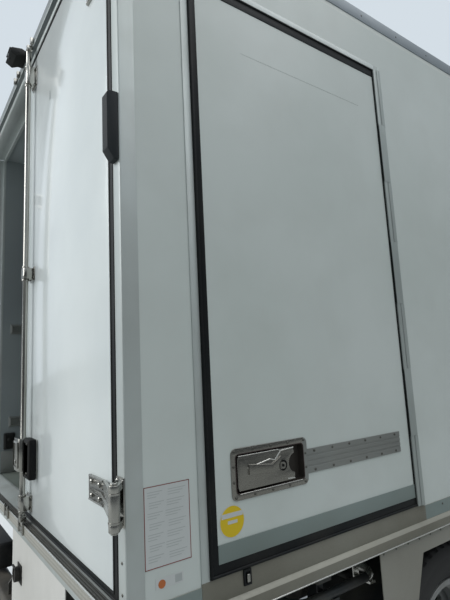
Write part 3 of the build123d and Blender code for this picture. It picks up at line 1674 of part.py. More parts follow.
def mirrors():
    """A tall mirror on two arms at each front pillar."""
    start, side = CAB_FRONT - 170, CAB_WIDTH / 2
    head = rounded_rear_slab(
        start, start + 80, -side - 275, -side - 75, BELT + 60, BELT + 460, 40
    )
    head = head + slab(start + 10, start + 40, -side - 80, -side + 60, BELT + 100, BELT + 130)
    head = head + slab(start - 30, start + 40, -side - 80, -side + 75, BELT + 390, BELT + 415)
    return head - cab_form(0)


def bumper_form(inset):
    """The bumper's outside: its plan outline with a tapered foot."""
    half = CAB_WIDTH / 2 - BUMPER_INSET
    face = plan_outline(STEP_START, BUMPER_FRONT, half, CAB_CORNER, inset)
    body = plan_push(face, BUMPER_FOOT, BUMPER_TOP)
    lean = side_prism(
        [
            (STEP_START, BUMPER_FOOT),
            (BUMPER_FRONT - 60 - inset, BUMPER_FOOT),
            (BUMPER_FRONT - inset, BUMPER_FOOT + 160),
            (BUMPER_FRONT - inset, BUMPER_TOP),
            (STEP_START, BUMPER_TOP),
        ],
        -1100,
        1100,
    )
    return body & lean


def bumper():
    """A wrap-round shell with lamp openings, an intake and two steps a side."""
    start, front = STEP_START, BUMPER_FRONT
    shell = bumper_form(0) - bumper_form(BUMPER_SHELL)
    shell = shell - slab(start - 1, FRAME_FRONT + 10, -790, 790, BUMPER_FOOT, BUMPER_TOP)
    lamp = rounded_rear_slab(
        front - 270, front + 40, LAMP_INSIDE, LAMP_OUTSIDE, LAMP_FOOT, LAMP_TOP, 40
    )
    lamp = lamp - bumper_form(BUMPER_SHELL)
    shell = shell - lamp - other_side(lamp)
    for row in range(3):
        z = BUMPER_FOOT + 80 + row * 52
        shell = shell - slab(front - 170, front + 30, -420, 420, z, z + 30)
    shell = shell - slab(front - 8, front + 10, -265, 265, LAMP_FOOT + 50, LAMP_TOP + 12)
    tow_y, tow_z = -400, 650
    socket = bar((front - 70, tow_y, tow_z), (front + 30, tow_y, tow_z), TOW_PIN_RADIUS)
    boss = bar((front - 70, tow_y, tow_z), (front - 5, tow_y, tow_z), 45)
    shell = shell + boss - socket
    well_start, well_end = start + STEP_WELL_START, start + STEP_WELL_END
    inside, outside = CAB_WIDTH / 2 - 180, CAB_WIDTH / 2
    for foot in STEP_HEIGHTS:
        well = slab(well_start, well_end, inside, outside, foot, foot + STEP_WELL_HEIGHT)
        tread = slab(well_start, well_end, inside - 2, outside - 16, foot - 12, foot)
        shell = shell - well - other_side(well)
        shell = shell + tread + other_side(tread)
    reach = CAB_WIDTH / 2 - BUMPER_INSET - BUMPER_SHELL + 1
    tie = slab(FRAME_FRONT - 50, FRAME_FRONT - 10, FRAME_SIDE, reach, 640, 760)
    return fuse([shell, tie, other_side(tie)])


# Wheels and steering


def rim_points(dish):
    """Half-section of a rim, as (y, radius), with its disc on side dish."""
    half = RIM_WIDTH / 2
    nave = dish * WHEEL_OFFSET
    bead = [
        (-half - RIM_SHEET, RIM_FLANGE),
        (-half, RIM_FLANGE),
        (-half, RIM_SEAT),
        (-half * 0.45, RIM_SEAT),
        (-half * 0.3, RIM_SEAT - 26),
        (half * 0.3, RIM_SEAT - 26),
        (half * 0.45, RIM_SEAT),
        (half, RIM_SEAT),
        (half, RIM_FLANGE),
        (half + RIM_SHEET, RIM_FLANGE),
        (half + RIM_SHEET, RIM_SEAT - RIM_SHEET),
        (half * 0.5, RIM_SEAT - RIM_SHEET),
        (half * 0.35, RIM_SEAT - 26 - RIM_SHEET),
        (-half * 0.35, RIM_SEAT - 26 - RIM_SHEET),
        (-half * 0.5, RIM_SEAT - RIM_SHEET),
        (-half - RIM_SHEET, RIM_SEAT - RIM_SHEET),
    ]
    disc = [
        (nave, HUB_RADIUS - 4),
        (nave, 112),
        (nave - dish * 18, 128),
        (dish * half * 0.9, RIM_SEAT - 5),
        (dish * half * 0.55, RIM_SEAT - 5),
        (nave - dish * 30, 120),
        (nave - dish * 12, 106),
        (nave - dish * 12, HUB_RADIUS - 4),
    ]
    return bead, disc


def rim(x, middle, dish):
    """One pressed rim with its disc and hand holes."""
    bead, disc = rim_points(dish)
    pieces = []
    for points in (bead, disc):
        pieces.append(turned([(middle + y, r) for y, r in points], x, AXLE_HEIGHT))
    whole = fuse(pieces)
    reach = dish * WHEEL_OFFSET
    for index in range(HAND_HOLES):
        angle = radians(360 / HAND_HOLES * (index + 0.5))
        hx = x + HAND_HOLE_CIRCLE * cos(angle)
        hz = AXLE_HEIGHT + HAND_HOLE_CIRCLE * sin(angle)
        whole = whole - bar((hx, middle, hz), (hx, middle + reach * 1.2, hz), HAND_HOLE_RADIUS)
    return whole


def tyre(x, middle):
    """One tyre, with rounded shoulders and bulging walls."""
    half = RIM_WIDTH / 2 - 0.3
    seat = RIM_SEAT + 0.3
    wide = TYRE_WIDTH / 2
    plane = Plane(origin=(x, middle, AXLE_HEIGHT), x_dir=(0, 1, 0), z_dir=(1, 0, 0))
    with BuildSketch(plane) as outline:
        with BuildLine():
            Line((-half, seat), (half, seat))
            Line((half, seat), (half, RIM_FLANGE + 4))
            ThreePointArc((half, RIM_FLANGE + 4), (wide, 302), (wide - 9, 362))
            ThreePointArc((wide - 9, 362), (wide - 15, 376), (wide - 28, TYRE_RADIUS))
            Line((wide - 28, TYRE_RADIUS), (-wide + 28, TYRE_RADIUS))
            ThreePointArc((-wide + 28, TYRE_RADIUS), (-wide + 15, 376), (-wide + 9, 362))
            ThreePointArc((-wide + 9, 362), (-wide, 302), (-half, RIM_FLANGE + 4))
            Line((-half, RIM_FLANGE + 4), (-half, seat))
        make_face()
    return revolve(outline.sketch, Axis((x, 0, AXLE_HEIGHT), (0, 1, 0)))


def front_rim():
    """The left front rim with its hub and brake disc."""
    x, y = FRONT_AXLE, FRONT_WHEEL_Y
    bore = STUB_RADIUS + PIN_CLEARANCE
    nave = y + WHEEL_OFFSET - 12
    hub = turned(
        [
            (822, bore),
            (822, BRAKE_RADIUS),
            (850, BRAKE_RADIUS),
            (850, HUB_RADIUS + 5),
            (nave - 12, HUB_RADIUS - 4),
            (nave - 12, 108),
            (nave, 108),
            (nave, HUB_RADIUS - 6),
            (nave + 34, HUB_RADIUS - 8),
            (nave + 58, HUB_RADIUS - 24),
            (nave + 58, 0),
            (nave + 14, 0),
            (nave + 14, bore),
        ],
        x,
        AXLE_HEIGHT,
    )
    return fuse([rim(x, y, 1), hub])


def rear_rims():
    """The left twin rims, back to back on one hub, with the brake disc."""
    x = REAR_AXLE
    middle = (OUTER_TWIN_Y + INNER_TWIN_Y) / 2
    bore = SPINDLE_RADIUS + PIN_CLEARANCE
    hub = turned(
        [
            (640, bore),
            (640, BRAKE_RADIUS),
            (668, BRAKE_RADIUS),
            (668, HUB_RADIUS),
            (middle - 24, HUB_RADIUS - 4),
            (middle - 24, 108),
            (middle - 12, 108),
            (middle - 12, HUB_RADIUS - 6),
            (OUTER_TWIN_Y + 24, HUB_RADIUS - 8),
            (OUTER_TWIN_Y + 36, HUB_RADIUS - 20),
            (OUTER_TWIN_Y + 36, 0),
            (OUTER_TWIN_Y - 12, 0),
            (OUTER_TWIN_Y - 12, bore),
        ],
        x,
        AXLE_HEIGHT,
    )
    return fuse([rim(x, OUTER_TWIN_Y, -1), rim(x, INNER_TWIN_Y, 1), hub])


def knuckle():
    """The left knuckle: a fork on the kingpin, the stub axle and its arm."""
    x, y = FRONT_AXLE, KINGPIN_Y
    top = AXLE_HEIGHT + AXLE_BOSS / 2 + KINGPIN_GAP
    foot = ARM_FOOT + KNUCKLE_EAR
    pieces = [
        bar((x, y, top), (x, y, top + KNUCKLE_EAR), 38),
        bar((x, y, ARM_FOOT), (x, y, foot), 38),
        slab(x - 36, x + 36, y + 12, y + 38, top, top + KNUCKLE_EAR),
        slab(x - 36, x + 36, y + 12, y + 38, ARM_FOOT, foot),
        bar((x, y, ARM_FOOT), (x, y, top + KNUCKLE_EAR), KINGPIN_RADIUS),
        bar((x, y + 47, AXLE_HEIGHT), (x, FRONT_WHEEL_Y + 110, AXLE_HEIGHT), STUB_RADIUS),
        slab(x - 36, x + 36, y + 38, y + 50, ARM_FOOT, top + KNUCKLE_EAR),
    ]
    for z in (ARM_FOOT, top):
        pieces.append(slab(x - 36, x + 36, y + 37, y + 39, z, z + KNUCKLE_EAR))
    arm_top = ARM_FOOT + STEERING_ARM_THICKNESS
    end_x = x - STEERING_ARM
    arm = plan_prism([(x, y - 22), (x, y + 22), (end_x, y + 16), (end_x, y - 16)], ARM_FOOT, arm_top)
    eye = bar((end_x, y, ARM_FOOT), (end_x, y, arm_top), ROD_END_RADIUS)
    pin_foot = ARM_FOOT - TRACK_ROD_DROP - ROD_END_HALF
    pin = bar((end_x, y, pin_foot), (end_x, y, arm_top), ROD_PIN_RADIUS)
    return fuse(pieces + [arm, eye, pin])


def track_rod():
    """The rod that joins the two steering arms behind the axle."""
    x = FRONT_AXLE - STEERING_ARM
    z = ARM_FOOT - TRACK_ROD_DROP
    ends = (-KINGPIN_Y, KINGPIN_Y)
    pieces = [bar((x, ends[0], z), (x, ends[1], z), TRACK_ROD_RADIUS)]
    for y in ends:
        pieces.append(bar((x, y, z - ROD_END_HALF), (x, y, z + ROD_END_HALF), ROD_END_RADIUS))
    whole = fuse(pieces)
    for y in ends:
        whole = whole - bar((x, y, z - 20), (x, y, z + 20), ROD_PIN_RADIUS + PIN_CLEARANCE)
    return whole


def build():
    """Make every piece and write it."""
    os.makedirs("parts", exist_ok=True)
    save("chassis_frame", chassis_frame())
    save("body_bearers", body_bearers())
    save("front_axle", front_axle())
    save("rear_axle", rear_axle())
    save("driveline", driveline())
    save("fuel_tank", fuel_tank())
    save("battery_box", battery_box())
    save("exhaust", exhaust())
    save("rear_underrun", rear_underrun())
    save("lamps", lamps())
    save("wheel_guards", wheel_guards())
    save("side_guards", side_guards())
    save("skirt_plates", skirt_plates())
    save("step_tube", step_tube())

    save("box_floor", box_floor())
    save("side_wall_left", side_wall(1))
    save("side_wall_right", side_wall(-1))
    save("box_roof", box_roof())
    save("front_wall", front_wall())
    save("rear_frame", rear_frame())
    save("box_rails", box_rails())
    save("side_door_frame", side_door_frame())
    save("rear_hinge_posts", rear_hinge_posts() + rod_keepers())
    save("rubber_buffers", rubber_buffers())
    save("reversing_camera", reversing_camera())
    save("refrigeration_unit", refrigeration_unit())
    save("unit_grille", unit_grille())
    save("evaporator", evaporator())

    for name, shape in (
        ("rear_leaf", rear_leaf()),
        ("rear_gasket", rear_gasket()),
        ("rear_fittings", rear_fittings()),
    ):
        save(f"{name}_right", shape)
        save(f"{name}_left", folded_left(shape))
    save("side_door_leaf", side_door_leaf())
    save("side_door_seal", side_door_seal())
    save("side_door_fittings", side_door_fittings())

    outer, inner = cab_form(0), cab_form(CAB_WALL)
    save("cab_shell", cab_shell(outer, inner))
    save("windscreen", windscreen())
    save("cab_grille", cab_grille())
    save("dashboard", dashboard())
    bases, cushions = [], []
    for base, cushion, back in seats():
        bases.append(base)
        cushions += [cushion, back]
    save("seat_frames", bases[0] + bases[1])
    save("seats", Compound(children=[s for shape in cushions for s in shape.solids()]))
    save("mirrors", both_sides(mirrors()))
    save("bumper", bumper())
    door, glass = cab_door(outer, inner), cab_door_glass()
    save("cab_door_right", door)
    save("cab_door_left", other_side(door))
    save("cab_window_right", glass)
    save("cab_window_left", other_side(glass))

    for side, place in (("left", lambda shape: shape), ("right", other_side)):
        save(f"knuckle_{side}", place(knuckle()))
        save(f"front_rim_{side}", place(front_rim()))
        save(f"front_tyre_{side}", place(tyre(FRONT_AXLE, FRONT_WHEEL_Y)))
        save(f"rear_rims_{side}", place(rear_rims()))
        twins = tyre(REAR_AXLE, OUTER_TWIN_Y) + tyre(REAR_AXLE, INNER_TWIN_Y)
        save(f"rear_tyres_{side}", place(twins))
    save("track_rod", track_rod())


build()
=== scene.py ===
"""Refrigerated truck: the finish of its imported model, the small fittings and the studio."""

import json
import math

import bpy
from mathutils import Matrix, Vector

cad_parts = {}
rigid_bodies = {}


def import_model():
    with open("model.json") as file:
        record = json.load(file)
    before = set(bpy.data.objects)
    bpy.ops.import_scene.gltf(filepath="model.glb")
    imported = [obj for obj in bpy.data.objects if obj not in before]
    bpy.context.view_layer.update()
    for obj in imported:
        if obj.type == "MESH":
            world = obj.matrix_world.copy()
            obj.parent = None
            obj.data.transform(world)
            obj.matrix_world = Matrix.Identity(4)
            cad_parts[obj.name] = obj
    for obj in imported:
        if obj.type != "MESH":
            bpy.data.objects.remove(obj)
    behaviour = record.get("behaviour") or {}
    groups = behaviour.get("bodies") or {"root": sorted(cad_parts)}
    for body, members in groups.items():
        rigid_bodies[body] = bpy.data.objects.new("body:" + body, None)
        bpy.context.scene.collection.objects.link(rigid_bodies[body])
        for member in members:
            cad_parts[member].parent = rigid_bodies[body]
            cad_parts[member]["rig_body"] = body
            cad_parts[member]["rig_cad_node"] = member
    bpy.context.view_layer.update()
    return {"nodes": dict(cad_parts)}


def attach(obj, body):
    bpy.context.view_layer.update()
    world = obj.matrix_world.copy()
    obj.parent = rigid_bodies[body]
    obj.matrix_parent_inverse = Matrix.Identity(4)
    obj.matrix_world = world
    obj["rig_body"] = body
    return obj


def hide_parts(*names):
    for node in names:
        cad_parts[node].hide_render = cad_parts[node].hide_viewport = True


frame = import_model()

bl_info = {
    "name": "Refrigerated truck",
    "version": (1, 0, 0),
    "blender": (4, 5, 0),
    "location": "3D View > Sidebar > Truck",
    "description": "Dresses the packed refrigerated truck and sets up its studio",
    "category": "Object",
}

# Places are in millimetres ahead of the load box's rear face, to the left and up, and
# spot turns them into the frame's metres. REAR is that rear face in the frame.
REAR = -3.0465
SIDE = 1125
SKIN = 1122
POST_FACE = 1136
PIN_AHEAD, PIN_SIDE = -38, 1149
HINGE_HEIGHTS = (1250, 2850)
ROD = -146
LEDGE = 1000
HINGE_LINE = 1214.3
REAR_AXLE, FRONT_AXLE = 1510, 5110
AXLE_HEIGHT = 383.5
FAR = 9999

# The photograph's camera, solved from the edges of the box
PHOTO_LENS = 27.88
PHOTO_PLACE = (-3.5357, -2.2761, 1.5683)
PHOTO_RIGHT = (0.81533, -0.57697, -0.04845)
PHOTO_BACK = (-0.57717, -0.80324, -0.14723)


# Tools


def linear(code):
    """A colour from its sRGB hex code, as linear light."""
    parts = [int(code[i : i + 2], 16) / 255 for i in (1, 3, 5)]
    return [c / 12.92 if c <= 0.04045 else ((c + 0.055) / 1.055) ** 2.4 for c in parts]


def clear_tree(owner):
    """The emptied node tree of a new material or world."""
    owner.use_nodes = True
    owner.node_tree.nodes.clear()
    return owner.node_tree


def add_node(tree, kind, settings=None, links=None):
    """Add a shader node, set its sockets and properties, and link its inputs.

    A link comes from a socket, or from a node by its first output.
    """
    made = tree.nodes.new("ShaderNode" + kind)
    for key, value in (settings or {}).items():
        if isinstance(key, int) or key in made.inputs:
            made.inputs[key].default_value = value
        else:
            setattr(made, key, value)
    for key, source in (links or {}).items():
        tree.links.new(getattr(source, "outputs", [source])[0], made.inputs[key])
    return made


def leave_edit():
    """Back to object mode."""
    bpy.ops.object.mode_set(mode="OBJECT")


def deselect():
    """Leave edit mode and select nothing."""
    if bpy.context.object and bpy.context.object.mode != "OBJECT":
        leave_edit()
    bpy.ops.object.select_all(action="DESELECT")


def take(piece):
    """Make one piece the only selected and active one."""
    deselect()
    piece.select_set(True)
    bpy.context.view_layer.objects.active = piece
    return piece


def open_all(piece):
    """Open a piece in edit mode with all of it selected."""
    take(piece)
    bpy.ops.object.mode_set(mode="EDIT")
    bpy.ops.mesh.select_all(action="SELECT")


def pick(piece, test):
    """Open a piece in edit mode with only the faces that pass the test selected."""
    take(piece)
    for group in (piece.data.vertices, piece.data.edges):
        for item in group:
            item.select = False
    for face in piece.data.polygons:
        face.select = bool(test(face.center, face.normal))
    bpy.ops.object.mode_set(mode="EDIT")
    bpy.ops.mesh.select_mode(type="FACE")


def settle(piece):
    """Move a piece's place and turn into its mesh."""
    take(piece)
    bpy.ops.object.transform_apply(location=True, rotation=True, scale=True)
    return piece


def spot(ahead, left, up):
    """A place in the frame, from millimetres."""
    return Vector((REAR + ahead / 1000, left / 1000, up / 1000))


def slab(x0, x1, y0, y1, z0, z1, edge=0, segments=2):
    """A block from its six sides, with its edges rounded if edge is given."""
    deselect()
    low, high = spot(x0, y0, z0), spot(x1, y1, z1)
    bpy.ops.mesh.primitive_cube_add(size=1, location=(low + high) / 2, scale=high - low)
    piece = settle(bpy.context.object)
    return bevel(piece, edge, segments) if edge else piece


def drum(start, end, radius, sides=16, tip=None):
    """A round bar or cone between two spots."""
    deselect()
    bpy.ops.mesh.primitive_cone_add(
        vertices=sides,
        radius1=radius / 1000,
        radius2=(radius if tip is None else tip) / 1000,
        depth=(end - start).length,
        location=(start + end) / 2,
        rotation=(end - start).to_track_quat("Z", "Y").to_euler(),
    )
    return settle(bpy.context.object)


def bar(start, end, radius, sides=16, edge=0, segments=2):
    """A round bar between two places, with its ends rounded if edge is given."""
    piece = drum(spot(*start), spot(*end), radius, sides)
    return bevel(piece, edge, segments) if edge else piece


def ball(place, size, segments=20, rings=12):
    """A round blob about a spot, from its half sizes."""
    deselect()
    bpy.ops.mesh.primitive_uv_sphere_add(
        segments=segments, ring_count=rings, radius=1, location=place, scale=Vector(size) / 1000
    )
    return settle(bpy.context.object)


def facing(direction, share=0.9):
    """A test for faces that look one way."""
    direction = Vector(direction)
    return lambda centre, normal: normal.dot(direction) > share


def within(ahead=(-FAR, FAR), left=(-FAR, FAR), up=(-FAR, FAR)):
    """A test for faces whose middle lies between these places."""
    low, high = spot(ahead[0], left[0], up[0]), spot(ahead[1], left[1], up[1])
    return lambda centre, normal: all(a < c < b for a, c, b in zip(low, centre, high))


def both(one, two):
    """A test for faces that pass two tests."""
    return lambda *face: one(*face) and two(*face)


def reshape(piece, kind, **settings):
    """Apply one modifier with these settings to a piece."""
    take(piece)
    added = piece.modifiers.new("shape", kind)
    for key, value in settings.items():
        setattr(added, key, value)
    bpy.ops.object.modifier_apply(modifier="shape")
    return piece


def bevel(piece, width, segments=2):
    """Round a piece's sharp edges."""
    return reshape(
        piece,
        "BEVEL",
        width=width / 1000,
        segments=segments,
        limit_method="ANGLE",
        angle_limit=math.radians(30),
        use_clamp_overlap=True,
    )


def recess(piece, direction, rim, depth):
    """Inset the faces that look one way and press them in."""
    pick(piece, facing(direction))
    bpy.ops.mesh.inset(thickness=rim / 1000)
    press = Vector(direction) * -depth / 1000
    bpy.ops.mesh.extrude_region_move(TRANSFORM_OT_translate={"value": press})
    leave_edit()
    return piece


def taper(piece, direction, share):
    """Scale the faces that look one way."""
    pick(piece, facing(direction))
    bpy.ops.transform.resize(value=share)
    leave_edit()


def split_at(piece, place, direction):
    """Cut a piece's faces along a plane, so that each side can have its own finish."""
    open_all(piece)
    bpy.ops.mesh.bisect(plane_co=place, plane_no=direction)
    leave_edit()


def flatten(piece, start, end, level):
    """Press the knuckles of the side door's hinge nearly flat, between two places along it."""
    start, end, level = spot(start, 0, 0).x, spot(end, 0, 0).x, level / 1000
    for vertex in piece.data.vertices:
        beyond = vertex.co.y - level
        if start < vertex.co.x < end and beyond < 0 and vertex.co.z > LEDGE / 1000:
            vertex.co.y = level + beyond * 0.15


def face_outwards(piece):
    """Merge a piece's doubles and turn its faces outwards."""
    open_all(piece)
    bpy.ops.mesh.remove_doubles(threshold=0.00001)
    bpy.ops.mesh.normals_make_consistent(inside=False)
    leave_edit()
    return piece


def copy_of(piece, matrix=Matrix()):
    """A copy of a piece with its own mesh, moved or turned in the mesh."""
    twin = piece.copy()
    twin.data = piece.data.copy()
    bpy.context.collection.objects.link(twin)
    twin.data.transform(matrix)
    return twin


def turned(angle, axis, centre):
    """A turn of so many degrees about an axis through a spot."""
    turn = Matrix.Rotation(math.radians(angle), 4, axis)
    return Matrix.Translation(centre) @ turn @ Matrix.Translation(-centre)


ACROSS = Matrix.Scale(-1, 4, (0, 1, 0))


def across(piece):
    """A copy of a piece on the other side of the truck."""
    return face_outwards(copy_of(piece, ACROSS))


def folded(piece):
    """A copy of a right leaf's piece on the left leaf, swung back against the side."""
    swing = turned(-270, "Z", spot(PIN_AHEAD, PIN_SIDE, 0))
    return face_outwards(copy_of(piece, swing @ ACROSS))


def join(parts):
    """Several parts as one."""
    deselect()
    for part in parts:
        part.select_set(True)
    bpy.context.view_layer.objects.active = parts[0]
    if len(parts) > 1:
        bpy.ops.object.join()
    return parts[0]


def paired(parts):
    """Several parts and their likenesses on the other side, as one."""
    piece = join(parts)
    return join([piece, across(piece)])


def complete(piece, name, body, finish, smooth=35):
    """Name a piece, smooth and paint it, and let it ride on its body."""
    settle(piece)
    piece.name = name
    piece.data.name = name
    if smooth:
        bpy.ops.object.shade_smooth_by_angle(angle=math.radians(smooth))
    piece.data.materials.clear()
    piece.data.materials.append(bpy.data.materials[finish])
    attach(piece, body)
    return piece


def second_finish(piece, finish, test):
    """Give the faces that pass the test another finish."""
    mesh = piece.data
    mesh.materials.append(bpy.data.materials[finish])
    index = len(mesh.materials) - 1
    for face in mesh.polygons:
        if test(face.center, face.normal):
            face.material_index = index


def loose_copy(node):
    """An unmarked copy of a CAD node, left open with its triangles merged and selected."""
    piece = copy_of(frame["nodes"][node])
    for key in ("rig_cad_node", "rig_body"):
        if key in piece:
            del piece[key]
    piece.parent = None
    open_all(piece)
    bpy.ops.mesh.remove_doubles(threshold=0.00002)
    return piece


def softened(node, name, width, finish, segments=2):
    """A bevelled copy of a CAD node that stands for it."""
    piece = loose_copy(node)
    bpy.ops.mesh.dissolve_limited(angle_limit=math.radians(1))
    leave_edit()
    bevel(piece, width, segments)
    complete(piece, name, frame["nodes"][node]["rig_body"], finish)
    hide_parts(node)
    return piece


def rim_bead(node, test, radius):
    """A round bead along the rim of a node's faces that pass the test."""
    piece = loose_copy(node)
    pick(piece, lambda centre, normal: not test(centre, normal))
    bpy.ops.mesh.delete(type="FACE")
    bpy.ops.mesh.select_all(action="SELECT")
    bpy.ops.mesh.region_to_loop()
    bpy.ops.mesh.select_all(action="INVERT")
    bpy.ops.mesh.delete(type="EDGE")
    bpy.ops.mesh.select_all(action="SELECT")
    bpy.ops.mesh.delete(type="ONLY_FACE")
    take(piece)
    bpy.ops.object.convert(target="CURVE")
    line = bpy.context.object
    line.data.bevel_depth = radius / 1000
    line.data.bevel_resolution = 2
    bpy.ops.object.convert(target="MESH")
    return face_outwards(bpy.context.object)


def fastener(radius, height, sides=12, socket=0.0):
    """A low domed head that points up from the origin, with a socket if one is given."""
    deselect()
    radius, height = radius / 1000, height / 1000
    bpy.ops.mesh.primitive_cylinder_add(
        vertices=sides, radius=radius, depth=height * 0.5, location=(0, 0, height * 0.25)
    )
    piece = settle(bpy.context.object)
    pick(piece, facing((0, 0, 1)))
    bpy.ops.mesh.extrude_region_move(TRANSFORM_OT_translate={"value": (0, 0, height * 0.5)})
    bpy.ops.transform.resize(value=(0.62, 0.62, 1))
    if socket:
        sink = (0, 0, -height * socket)
        bpy.ops.mesh.inset(thickness=radius * 0.3)
        bpy.ops.mesh.extrude_region_move(TRANSFORM_OT_translate={"value": sink})
    leave_edit()
    return piece


def studded(pattern, places, direction):
    """One fastener used up as copies at each place, turned to look one way."""
    turn = Vector(direction).to_track_quat("Z", "Y").to_matrix().to_4x4()
    parts = [copy_of(pattern, Matrix.Translation(place) @ turn) for place in places]
    bpy.data.objects.remove(pattern)
    return join(parts)


def studded_sides(pattern, right, more_left=()):
    """Fasteners at places on the right side and opposite them, and more on the left."""
    other = copy_of(pattern)
    left = [Vector((place.x, -place.y, place.z)) for place in right] + list(more_left)
    return join([studded(pattern, right, (0, -1, 0)), studded(other, left, (0, 1, 0))])


# Finishes. Each has a row: colours, metal, roughness, the grain's size in millimetres
# and its height, and how dirty it is. What each gives the eye is said beside it.


